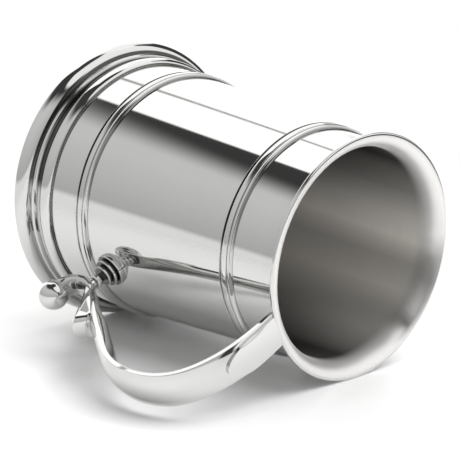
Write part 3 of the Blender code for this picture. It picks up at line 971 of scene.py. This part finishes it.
class TANKARD_OT_barrel(bpy.types.Operator):
    """Spin the tapered wall with its flared lip"""

    bl_idname = "tankard.barrel"
    bl_label = "Barrel"

    def execute(self, context):
        settings = context.scene.tankard
        barrel, foot, finish = settings.barrel, settings.foot, settings.finish
        bottom = wall_bottom(foot) + finish.seam
        cove_bottom = barrel.height - barrel.lip_face - barrel.lip_cove
        root = wall_radius(barrel, cove_bottom)
        corner = barrel.lip_corner
        inner_lip = barrel.lip_radius - corner
        flare_bottom = barrel.height - barrel.lip_flare
        inner = wall_radius(barrel, flare_bottom) - barrel.wall
        flare_top = barrel.lip_radius - 2.0 * corner

        lathe = Lathe().to(wall_radius(barrel, bottom), bottom)
        lathe.arc((inner_lip, cove_bottom), (inner_lip - root, barrel.lip_cove), 180.0, 90.0, 14)
        lathe.arc((inner_lip, barrel.height - barrel.lip_face + corner), (corner, corner), -80.0, 0.0, 4)
        lathe.arc((inner_lip, barrel.height - corner), (corner, corner), 0.0, 80.0, 5)
        lathe.arc((flare_top, flare_bottom), (flare_top - inner, barrel.lip_flare), 90.0, 180.0, 20)
        lathe.to(wall_radius(barrel, bottom) - barrel.wall, bottom)
        bm = lathe.spun()
        mark_inside(bm, BARREL_INSIDE * barrel.lip_radius)
        materials = (polished_pewter(finish), satin_pewter(finish, barrel))

        def darkening(place):
            """Darkening in the hollow under the lip."""
            radius, height = math.hypot(place.x, place.y), place.z
            cove = LIP_DARKENED[0] * barrel.lip_cove < height - cove_bottom < barrel.lip_cove - LIP_DARKENED[1]
            return LIP_DARKENING if cove and radius > outside_radius(barrel, height) - LIP_SKIN else 0.0

        finished("barrel_wall", bm, materials, "barrel", darkening)
        return {"FINISHED"}


class TANKARD_OT_base_disc(bpy.types.Operator):
    """Turn the disc that closes the barrel"""

    bl_idname = "tankard.base_disc"
    bl_label = "Base disc"

    def execute(self, context):
        settings = context.scene.tankard
        barrel, foot, finish = settings.barrel, settings.foot, settings.finish
        bottom = wall_bottom(foot) + finish.seam
        top = bottom + foot.disc_thickness
        radius = wall_radius(barrel, top) - barrel.wall - finish.seam
        lathe = Lathe().to(0.0, top - DISC_DISH)
        for out, deep in DISC_DISHING:
            lathe.to(out * radius, top - deep * DISC_DISH)
        lathe.arc((radius - DISC_FILLET, top + DISC_FILLET), (DISC_FILLET, DISC_FILLET), -90.0, -8.0, 6)
        lathe.to(radius, top).to(radius, bottom).to(DISC_LINE[0] * radius, bottom)
        lathe.arc((DISC_LINE[1] * radius, bottom), DISC_LINE_REACH, 0.0, 180.0, 6)
        lathe.to(0.0, bottom)
        bm = lathe.spun(closed=False)
        soften(bm, 0.5 * finish.edge, degrees=40.0)
        finished("base_disc", bm, (satin_pewter(finish, barrel),), "base_plate")
        return {"FINISHED"}


class TANKARD_OT_foot_ring(bpy.types.Operator):
    """Turn the moulded foot with its ledge, cove, bead and skirt"""

    bl_idname = "tankard.foot_ring"
    bl_label = "Foot ring"

    def execute(self, context):
        settings = context.scene.tankard
        barrel, foot, finish = settings.barrel, settings.foot, settings.finish
        top = foot_top(foot)
        seat = wall_bottom(foot)
        bore_top = wall_radius(barrel, top) + finish.seam
        bore_bottom = wall_radius(barrel, seat) + finish.seam
        ledge_radius = wall_radius(barrel, top) + foot.ledge_proud
        land_radius = bore_top + foot.ledge_land
        ledge_bottom = top - foot.ledge_height
        cove_radius = bore_bottom + foot.cove_wall
        groove_radius = cove_radius + foot.groove_proud
        cove_middle = ledge_bottom - 0.5 * foot.cove_height
        cove_reach = (ledge_radius - cove_radius, 0.5 * foot.cove_height)
        bead_reach = (foot.bead_proud, 0.5 * foot.bead_height)
        bead_top = foot.skirt_height + foot.bead_height
        skirt_reach = (foot.radius - groove_radius, foot.skirt_height - foot.bulge_height)
        rim_edge = foot.radius - foot.bulge_height
        inner = bore_bottom - foot.seat_width

        lathe = Lathe().to(bore_top, top)
        lathe.arc((land_radius, ledge_bottom), (ledge_radius - land_radius, foot.ledge_height), 90.0, 0.0, 16)
        lathe.arc((ledge_radius, cove_middle), cove_reach, *COVE_ARC, 14)
        lathe.to(cove_radius + BEAD_STEP_IN[0], bead_top + BEAD_STEP_IN[1])
        lathe.to(cove_radius + BEAD_STEP_OUT[0] * foot.bead_proud, bead_top - BEAD_STEP_OUT[1])
        lathe.arc((cove_radius, foot.skirt_height + bead_reach[1]), bead_reach, *BEAD_ARC, 8)
        lathe.to(groove_radius + GROOVE_STEP[0], foot.skirt_height + GROOVE_STEP[1])
        lathe.arc((groove_radius, foot.bulge_height), skirt_reach, *SKIRT_ARC, 24)
        lathe.arc((rim_edge, foot.bulge_height), (foot.bulge_height, foot.bulge_height), *RIM_ARC, 6)
        lathe.to(rim_edge, 0.0).to(rim_edge - foot.rim_width, 0.0)
        lathe.to(inner, seat - foot.seat_thickness).to(inner, seat).to(bore_bottom, seat)
        bm = lathe.spun()
        soften(bm, 0.4 * finish.edge, degrees=24.0, segments=2)
        mark_inside(bm, FOOT_INSIDE * inner)
        materials = (polished_pewter(finish), satin_pewter(finish, barrel))

        def darkening(place):
            """Painted shade over an even patina in the cove and on the skirt's shoulder beside the groove, and
            darkening on the ledge's land.
            """
            radius, height = math.hypot(place.x, place.y), place.z
            cove = -COVE_DARKENED[0] < radius - cove_radius < COVE_DARKENED[1]
            cove = cove and bead_top - COVE_DARKENED_ENDS[0] < height < ledge_bottom - COVE_DARKENED_ENDS[1]
            shoulder = SHOULDER_DARKENED[0] < radius - groove_radius < SHOULDER_DARKENED[1]
            shoulder = shoulder and abs(height - foot.skirt_height) < SHOULDER_DEPTH
            if cove or shoulder:
                return FOOT_PATINA_AND_SHADE * patina_and_shade_share(place)
            land = radius < land_radius + LAND_DARKENED[0] and height > top - LAND_DARKENED[1]
            return LAND_DARKENING if land else 0.0

        finished("foot_moulding", bm, materials, "foot_ring", darkening)
        return {"FINISHED"}


class TANKARD_OT_bands(bpy.types.Operator):
    """Turn the two reeded bands round the barrel"""

    bl_idname = "tankard.bands"
    bl_label = "Reeded bands"

    def execute(self, context):
        bands = context.scene.tankard.bands
        self.make_band(context, "lower_reeds", "lower_band", bands.lower_height)
        self.make_band(context, "upper_reeds", "upper_band", bands.upper_height)
        return {"FINISHED"}

    def make_band(self, context, name, node, height):
        """A wide reed between a narrow and a thin one, round the barrel."""
        settings = context.scene.tankard
        barrel, bands, finish = settings.barrel, settings.bands, settings.finish
        bottom = height - 0.5 * bands.width
        top = bottom + bands.width
        lathe = Lathe()
        for along, out in reversed(BAND_PROFILE):
            place = bottom + along * bands.width
            lathe.to(wall_radius(barrel, place) + finish.seam + out * bands.proud, place)
        lathe.to(wall_radius(barrel, bottom) + finish.seam, bottom)
        lathe.to(wall_radius(barrel, top) + finish.seam, top)
        bm = lathe.spun()
        soften(bm, 0.3 * finish.edge, degrees=40.0)

        def darkening(place):
            """Painted shade over an even patina down in the grooves between the reeds."""
            along = (place.z - bottom) / bands.width
            depth = next((depth for low, high, depth in BAND_PATINA_AND_SHADE if low < along < high), 0.0)
            return depth * patina_and_shade_share(place)

        finished(name, bm, (polished_pewter(finish),), node, darkening)


class TANKARD_OT_strap(bpy.types.Operator):
    """Loft the cast strap from the lip to the neck, with its spur"""

    bl_idname = "tankard.strap"
    bl_label = "Handle strap"

    def execute(self, context):
        settings = context.scene.tankard
        barrel, handle, finish = settings.barrel, settings.handle, settings.finish
        path = HandlePath(settings)
        spur_start = handle.spur_start * path.joint
        spur_end = handle.spur_end * path.joint
        bm = bmesh.new()
        rings = []
        before = int(LOOP_RINGS * handle.spur_start)
        for station in np.linspace(path.start, spur_start, before, endpoint=False):
            rings.append(self.plain_ring(bm, path, station))
        press_on_wall(barrel, {vert for edge in rings[0] for vert in edge.verts}, finish.seam)
        rings += self.spur_rings(bm, path, settings, spur_start, spur_end)
        for station in np.linspace(spur_end + STRAP_GAP, path.joint, LOOP_RINGS - before - SPUR_RINGS // 2):
            rings.append(self.plain_ring(bm, path, station))
        lofted(bm, rings)
        soften(bm, finish.edge)
        finished("handle_strap", bm, (polished_pewter(finish),), "handle_loop")
        return {"FINISHED"}

    def plain_ring(self, bm, path, station):
        """Section of the strap at a length along the path."""
        point, normal = path.at(station)
        return strap_ring(bm, point, normal, path.handle.rim, path.sizes(station))

    def spur_rings(self, bm, path, settings, start, end):
        """Sections that fan out from the strap to the spur's rounded tip."""
        handle = settings.handle
        tip = np.array([path.neck + handle.spur_reach, settings.stud.height + handle.spur_rise])
        point, normal = path.at(start)
        shoulder = point + normal * (handle.rim + path.sizes(start)[1])
        rings = []
        for part in np.linspace(0.0, 1.0, SPUR_RINGS):
            station = start + (end - start) * part
            point, _ = path.at(station)
            sizes = path.sizes(station)
            fan = shoulder + (tip - shoulder) * part - point
            depth = float(np.linalg.norm(fan))
            back = max(part - SPUR_BACK, 0.0) / (1.0 - SPUR_BACK)
            wedge = handle.spur_wedge - handle.spur_chamfer * back
            blend = min(part / SPUR_BLEND, 1.0)
            blend = blend * blend * (3.0 - 2.0 * blend)
            ring = strap_ring(bm, point, fan / depth, handle.rim, sizes)
            self.raise_wedge(ring, point, fan / depth, sizes, wedge, depth, blend)
            rings.append(ring)
        return rings

    def raise_wedge(self, ring, point, out, sizes, wedge, depth, blend):
        """Draw a section's outside out into a wedge that stands on a shoulder of the strap."""
        half, crown, _ = sizes
        handle = bpy.context.scene.tankard.handle
        foot = handle.rim + SPUR_SHOULDER * crown
        rounding = min(handle.spur_round, SPUR_ROUNDED * max(depth - foot, 0.0))
        radius, bend = crown_arc(half, crown)
        for vert in {vert for edge in ring for vert in edge.verts}:
            offset = np.array([vert.co.x, vert.co.z]) - point
            rise = float(offset @ out)
            if rise < handle.rim - RIM_TOUCH:
                continue
            part = 1.0 - math.asin(abs(vert.co.y) / radius) / bend
            if part < SPUR_SHARES[0]:
                angle = 0.5 * math.pi * part / SPUR_SHARES[0]
                wide = wedge + (half - wedge) * math.cos(angle)
                high = handle.rim + (foot - handle.rim) * math.sin(angle)
            elif part < SPUR_SHARES[1]:
                climb = (part - SPUR_SHARES[0]) / (SPUR_SHARES[1] - SPUR_SHARES[0])
                wide, high = wedge, foot + (depth - rounding - foot) * climb
            else:
                angle = 0.5 * math.pi * (part - SPUR_SHARES[1]) / (1.0 - SPUR_SHARES[1])
                wide = wedge * math.cos(angle) ** SPUR_FULLNESS
                high = depth - rounding + rounding * math.sin(angle) ** SPUR_FULLNESS
            wide = abs(vert.co.y) + (wide - abs(vert.co.y)) * blend
            high = rise + (high - rise) * blend
            vert.co = (point[0] + out[0] * high, math.copysign(wide, vert.co.y), point[1] + out[1] * high)


class TANKARD_OT_tongue(bpy.types.Operator):
    """Form the raised tongue on top of the strap by the lip"""

    bl_idname = "tankard.tongue"
    bl_label = "Thumb tongue"

    def execute(self, context):
        settings = context.scene.tankard
        barrel, handle, finish = settings.barrel, settings.handle, settings.finish
        path = HandlePath(settings)
        start = path.start
        end = start + handle.leaf_length
        bm = bmesh.new()
        bmesh.ops.create_grid(bm, x_segments=TONGUE_GRID[0], y_segments=TONGUE_GRID[1], size=1.0)
        for vert in bm.verts:
            along = 0.5 * (vert.co.x + 1.0)
            station = start + (end - start) * math.sin(0.5 * math.pi * along)
            left = min((end - station) / handle.leaf_tip, 1.0)
            across = handle.leaf_share * vert.co.y * math.sqrt(max(1.0 - (1.0 - left) ** 2, TONGUE_LEAST))
            point, normal = path.at(station)
            half, crown, _ = path.sizes(station)
            out = handle.rim + crown_rise(half * across, half, crown) + finish.seam
            vert.co = (point[0] + normal[0] * out, half * across, point[1] + normal[1] * out)
        closed_mesh(bm)
        if sum(face.normal.z for face in bm.faces) < 0.0:
            bmesh.ops.reverse_faces(bm, faces=bm.faces)
        bmesh.ops.solidify(bm, geom=bm.faces[:], thickness=-handle.leaf_thickness)
        closed_mesh(bm)
        reach = barrel.lip_radius + TONGUE_REACH
        root = [vert for vert in bm.verts if vert.co.x < reach and vert.co.z < barrel.height]
        press_on_wall(barrel, root, finish.seam)
        soften(bm, 0.32 * handle.leaf_thickness, degrees=40.0)
        finished("thumb_tongue", bm, (polished_pewter(finish),), "thumb_leaf")
        return {"FINISHED"}


class TANKARD_OT_tail(bpy.types.Operator):
    """Loft the small scroll that runs from the neck out to the ball"""

    bl_idname = "tankard.tail"
    bl_label = "Tail scroll"

    def execute(self, context):
        settings = context.scene.tankard
        handle, finish = settings.handle, settings.finish
        path = HandlePath(settings)
        bm = bmesh.new()
        rings = []
        for station in np.linspace(path.joint + finish.seam, path.end, TAIL_RINGS):
            point, normal = path.at(station)
            rings.append(strap_ring(bm, point, normal, handle.rim, path.sizes(path.joint)))
        lofted(bm, rings)
        soften(bm, finish.edge)

        def darkening(place):
            """Painted dark reflection along the middle of the scroll."""
            across = min(abs(place.y) / (TAIL_REFLECTION_WIDTH * handle.neck_half), 1.0)
            return TAIL_DARK_REFLECTION * (1.0 - across**4)

        finished("tail_curl", bm, (polished_pewter(finish),), "tail_scroll", darkening)
        return {"FINISHED"}


class TANKARD_OT_ball(bpy.types.Operator):
    """Turn the ball on the end of the tail"""

    bl_idname = "tankard.ball"
    bl_label = "Ball end"

    def execute(self, context):
        settings = context.scene.tankard
        handle, finish = settings.handle, settings.finish
        path = HandlePath(settings)
        point, normal = path.at(path.end)
        along = Vector((normal[1], 0.0, -normal[0]))
        middle = point + normal * 0.5 * (handle.rim + handle.neck_crown)
        seat = Vector((middle[0], 0.0, middle[1])) + along * finish.seam
        radius = handle.ball_radius
        rise = radius - handle.ball_flat
        start = math.degrees(math.asin(-rise / radius))
        lathe = Lathe().to(0.0, 0.0)
        lathe.arc((0.0, rise), (radius, radius), start, 90.0, 44)
        bm = lathe.spun(STUD_SIDES, closed=False)
        soften(bm, finish.edge, degrees=30.0)
        turned = along.to_track_quat("Z", "Y").to_matrix().to_4x4()
        bmesh.ops.transform(bm, matrix=Matrix.Translation(seat) @ turned, verts=bm.verts)
        finished("ball_end", bm, (polished_pewter(finish),), "ball_finial")
        return {"FINISHED"}


class TANKARD_OT_stud(bpy.types.Operator):
    """Turn the ringed stud that joins the handle to the barrel"""

    bl_idname = "tankard.stud"
    bl_label = "Ringed stud"

    def execute(self, context):
        settings = context.scene.tankard
        barrel, handle, stud, finish = settings.barrel, settings.handle, settings.stud, settings.finish
        base = wall_radius(barrel, stud.height)
        reached = base
        end = base + handle.standoff - finish.seam
        button_start = end - stud.button_length
        half = 0.5 * stud.ring_length
        lathe = Lathe().to(0.0, reached).to(stud.flange, reached)
        rings = (stud.flange, stud.ring, stud.collar, stud.bead)
        for radius, following in zip(rings, rings[1:]):
            lathe.arc((radius - half, reached + half), (half, half), 0.0, 90.0, 6)
            reached += stud.ring_length
            waist = following - stud.groove_depth
            lathe.to(waist, reached).to(waist, reached + stud.groove_length)
            reached += stud.groove_length
            if following != stud.bead:
                lathe.arc((following - half, reached + half), (half, half), -90.0, 0.0, 6)
        bead_half = 0.5 * (button_start - reached)
        lathe.arc((0.0, reached + bead_half), (stud.bead, bead_half), -45.0, 45.0, 12)
        lathe.to(stud.button, button_start).to(stud.button, end).to(0.0, end)
        bm = lathe.spun(STUD_SIDES, closed=False)
        lying = Matrix.Translation((0.0, 0.0, stud.height)) @ Matrix.Rotation(math.radians(90.0), 4, "Y")
        bmesh.ops.transform(bm, matrix=lying, verts=bm.verts)
        press_on_wall(barrel, [vert for vert in bm.verts if vert.co.x < base + STUD_TOUCH], finish.seam)
        soften(bm, 0.6 * finish.edge, degrees=30.0)

        def darkening(place):
            """Darkening down in the grooves between the rings."""
            pitch = stud.ring_length + stud.groove_length
            groove, along = divmod(place.x - base, pitch)
            deep = 0 <= groove < len(rings) - 1 and along > stud.ring_length - STUD_DARKENED
            return STUD_DARKENING if deep else 0.0

        finished("ringed_stud", bm, (polished_pewter(finish),), "strut", darkening)
        return {"FINISHED"}


# --- Stage ---


class TANKARD_OT_stage(bpy.types.Operator):
    """Set the floor, the room's light and the camera"""

    bl_idname = "tankard.stage"
    bl_label = "Studio"

    def execute(self, context):
        settings = context.scene.tankard
        barrel, foot = settings.barrel, settings.foot
        self.mouth = Vector((AXIS_X, 0.0, barrel.height))
        lip = (barrel.lip_radius, barrel.height - barrel.lip_corner)
        rim = (foot.radius, foot.bulge_height)
        tilt = math.atan((rim[0] - lip[0]) / (lip[1] - rim[1]))
        lying = math.radians(LYING_TURN)
        self.up = -Vector((math.cos(lying) * math.cos(tilt), math.sin(lying) * math.cos(tilt), math.sin(tilt)))
        self.drop = lip[0] * math.cos(tilt) + (lip[1] - barrel.height) * math.sin(tilt)
        self.back = Vector(CAMERA_RIGHT).cross(Vector(CAMERA_UP)).normalized()
        self.near = (self.back - self.up * self.back.dot(self.up)).normalized()
        self.right = self.up.cross(self.near)
        context.scene.view_settings.view_transform = "Standard"
        self.make_floor(context, settings.stage)
        self.make_room(context, settings.stage)
        self.make_softbox(context, settings.stage)
        self.make_camera(context)
        return {"FINISHED"}

    def make_floor(self, context, stage):
        """A wide round floor that the tankard lies on, seen only from above."""
        bm = bmesh.new()
        bmesh.ops.create_circle(bm, cap_ends=True, segments=FLOOR_SIDES, radius=FLOOR_RADIUS)
        place = Matrix((self.right, -self.near, self.up)).transposed().to_4x4()
        place.translation = self.mouth - self.up * self.drop
        bmesh.ops.transform(bm, matrix=place, verts=bm.verts)
        mesh = bpy.data.meshes.new("studio_floor")
        bm.to_mesh(mesh)
        bm.free()
        floor = bpy.data.objects.new("studio_floor", mesh)
        context.scene.collection.objects.link(floor)
        mesh.materials.append(self.floor_material(stage))

    def floor_material(self, stage):
        """Smooth pale board that keeps the shadow and lets a camera behind it see through."""
        material, nodes = new_material("pale_floor")
        look = {"Base Color": rgba(stage.floor), "Roughness": FLOOR_ROUGHNESS, "Specular IOR Level": FLOOR_GLOSS}
        board = nodes.add("ShaderNodeBsdfPrincipled", None, look)
        behind = nodes.add("ShaderNodeNewGeometry", None, None, output=6)
        place = nodes.add("ShaderNodeTexCoord", None, None, output=3)
        away = nodes.vector("DISTANCE", place, self.mouth - self.up * self.drop, output=1)
        faded = behind.math("MAXIMUM", behind, nodes.eased(away, *FLOOR_FADE))
        clear = nodes.add("ShaderNodeBsdfTransparent")
        surface = nodes.add("ShaderNodeMixShader", None, {0: faded, 1: board, 2: clear})
        nodes.add("ShaderNodeOutputMaterial", None, {"Surface": surface})
        return material

    def make_room(self, context, stage):
        """Grey walls, a dark ceiling, white boxes at the right and white behind; plain white to the camera."""
        world = bpy.data.worlds.new("studio_room")
        context.scene.world = world
        world.use_nodes = True
        nodes = Nodes(world.node_tree)
        looking = nodes.add("ShaderNodeTexCoord", None, None, output=0)
        axes = (self.up, self.near, self.right)
        up, near, right = (nodes.vector("DOT_PRODUCT", looking, axis, output=1) for axis in axes)
        elevation = up.math("ARCSINE", up) * (180.0 / math.pi)
        bearing = right.math("ARCTAN2", right, near) * (180.0 / math.pi)

        height, offset, rise = CEILING_SLOPE
        slope = height + (bearing + offset) * rise
        height, offset, bend = CEILING_ARCH
        ahead = bearing.math("MAXIMUM", bearing + offset, 0.0)
        arch = height - bend * ahead * ahead
        ceiling = nodes.eased(elevation - slope.math("MINIMUM", slope, arch), *CEILING_EDGE)
        right_wall = nodes.span(bearing, *RIGHT_WALL) * nodes.eased(elevation, *RIGHT_WALL_FOOT)
        side_box = nodes.span(bearing, *SIDE_BOX) * nodes.span(elevation, *SIDE_BOX_HEIGHT)
        front_box = nodes.eased(elevation + bearing, *FRONT_BOX_SLANT) * nodes.span(elevation, *FRONT_BOX_HEIGHT)
        front_box = front_box * nodes.span(bearing, *FRONT_BOX)
        corner, fall = TOP_BOX_SLANT
        aside = bearing.math("MAXIMUM", bearing - corner, 0.0)
        top_box = nodes.span(bearing, *TOP_BOX) * nodes.span(elevation + fall * aside, *TOP_BOX_HEIGHT)
        behind = 1.0 - nodes.span(bearing, *OPEN_SIDES)
        below_top = 1.0 - nodes.eased(elevation, *BOX_TOPS)
        seam = 1.0 - nodes.eased(abs(elevation - PANE_SEAM), *PANE_SEAM_EDGE)
        white = PANE_WHITE - PANE_SEAM_SHADE * seam

        light = nodes.add("ShaderNodeValToRGB", {"stops": WALL_GREYS}, {0: elevation / 180.0 + 0.5})
        for mask, level in (
            (ceiling, ROOM_DARK),
            (right_wall, ROOM_DARK),
            (side_box, BOX_WHITE),
            (front_box * below_top, BOX_WHITE),
            (top_box * below_top, TOP_BOX_WHITE),
        ):
            light = nodes.mixed(mask, light, grey(level))
        pane = nodes.add("ShaderNodeCombineColor", None, {0: white, 1: white, 2: white})
        light = nodes.mixed(behind * below_top, light, pane)
        studio = nodes.add("ShaderNodeBackground", None, {"Color": light, "Strength": stage.room})
        backdrop = nodes.add("ShaderNodeBackground", None, {"Color": grey(1.0), "Strength": 1.0})
        camera = nodes.add("ShaderNodeLightPath", None, None, output=0)
        surface = nodes.add("ShaderNodeMixShader", None, {0: camera, 1: studio, 2: backdrop})
        nodes.add("ShaderNodeOutputWorld", None, {"Surface": surface})

    def make_softbox(self, context, stage):
        """A broad lamp over the tankard and to its right, for the soft shadow on the floor."""
        lamp = bpy.data.lights.new("softbox", "AREA")
        lamp.shape = "RECTANGLE"
        lamp.size, lamp.size_y = SOFTBOX_SIZE
        lamp.energy = stage.key
        softbox = bpy.data.objects.new("softbox", lamp)
        context.scene.collection.objects.link(softbox)
        aim = self.mouth - Vector((0.0, 0.0, SOFTBOX_AIM))
        up, near, right = SOFTBOX_OFFSET
        offset = self.up * up + self.near * near + self.right * right
        turned = offset.to_track_quat("Z", "Y").to_matrix().to_4x4()
        softbox.matrix_world = Matrix.Translation(aim + offset) @ turned
        softbox.visible_glossy = False

    def make_camera(self, context):
        """The camera, low in front of the mouth, at the photograph's viewing angle."""
        data = bpy.data.cameras.new("studio_camera")
        data.lens = CAMERA_LENS
        data.sensor_width = CAMERA_SENSOR
        data.clip_end = CAMERA_REACH
        camera = bpy.data.objects.new("studio_camera", data)
        right = Vector(CAMERA_RIGHT).normalized()
        rise = self.back.cross(right)
        turned = Matrix((right, rise, self.back)).transposed().to_4x4()
        camera.matrix_world = Matrix.Translation(self.mouth + Vector(CAMERA_PLACE)) @ turned
        context.scene.collection.objects.link(camera)
        context.scene.camera = camera


class TANKARD_PT_panel(bpy.types.Panel):
    """Lists the tankard's pieces and its studio"""

    bl_idname = "TANKARD_PT_panel"
    bl_label = "Tankard"
    bl_space_type = "VIEW_3D"
    bl_region_type = "UI"
    bl_category = "Tankard"

    def draw(self, context):
        column = self.layout.column(align=True)
        for operator in OPERATORS:
            column.operator(operator.bl_idname)


OPERATORS = (
    TANKARD_OT_barrel,
    TANKARD_OT_base_disc,
    TANKARD_OT_foot_ring,
    TANKARD_OT_bands,
    TANKARD_OT_strap,
    TANKARD_OT_tongue,
    TANKARD_OT_tail,
    TANKARD_OT_ball,
    TANKARD_OT_stud,
    TANKARD_OT_stage,
)
CLASSES = (
    TankardBarrelSizes,
    TankardFootSizes,
    TankardBandSizes,
    TankardHandleSizes,
    TankardStudSizes,
    TankardFinish,
    TankardStage,
    TankardSettings,
    *OPERATORS,
    TANKARD_PT_panel,
)


def register():
    """Register the classes and give the scene its tankard settings."""
    for item in CLASSES:
        bpy.utils.register_class(item)
    bpy.types.Scene.tankard = PointerProperty(type=TankardSettings)


def unregister():
    """Take the settings and the classes away again."""
    del bpy.types.Scene.tankard
    for item in reversed(CLASSES):
        bpy.utils.unregister_class(item)


def main():
    """Build every piece and the stage."""
    register()
    bpy.ops.tankard.barrel()
    bpy.ops.tankard.base_disc()
    bpy.ops.tankard.foot_ring()
    bpy.ops.tankard.bands()
    bpy.ops.tankard.strap()
    bpy.ops.tankard.tongue()
    bpy.ops.tankard.tail()
    bpy.ops.tankard.ball()
    bpy.ops.tankard.stud()
    bpy.ops.tankard.stage()


if __name__ == "__main__":
    main()
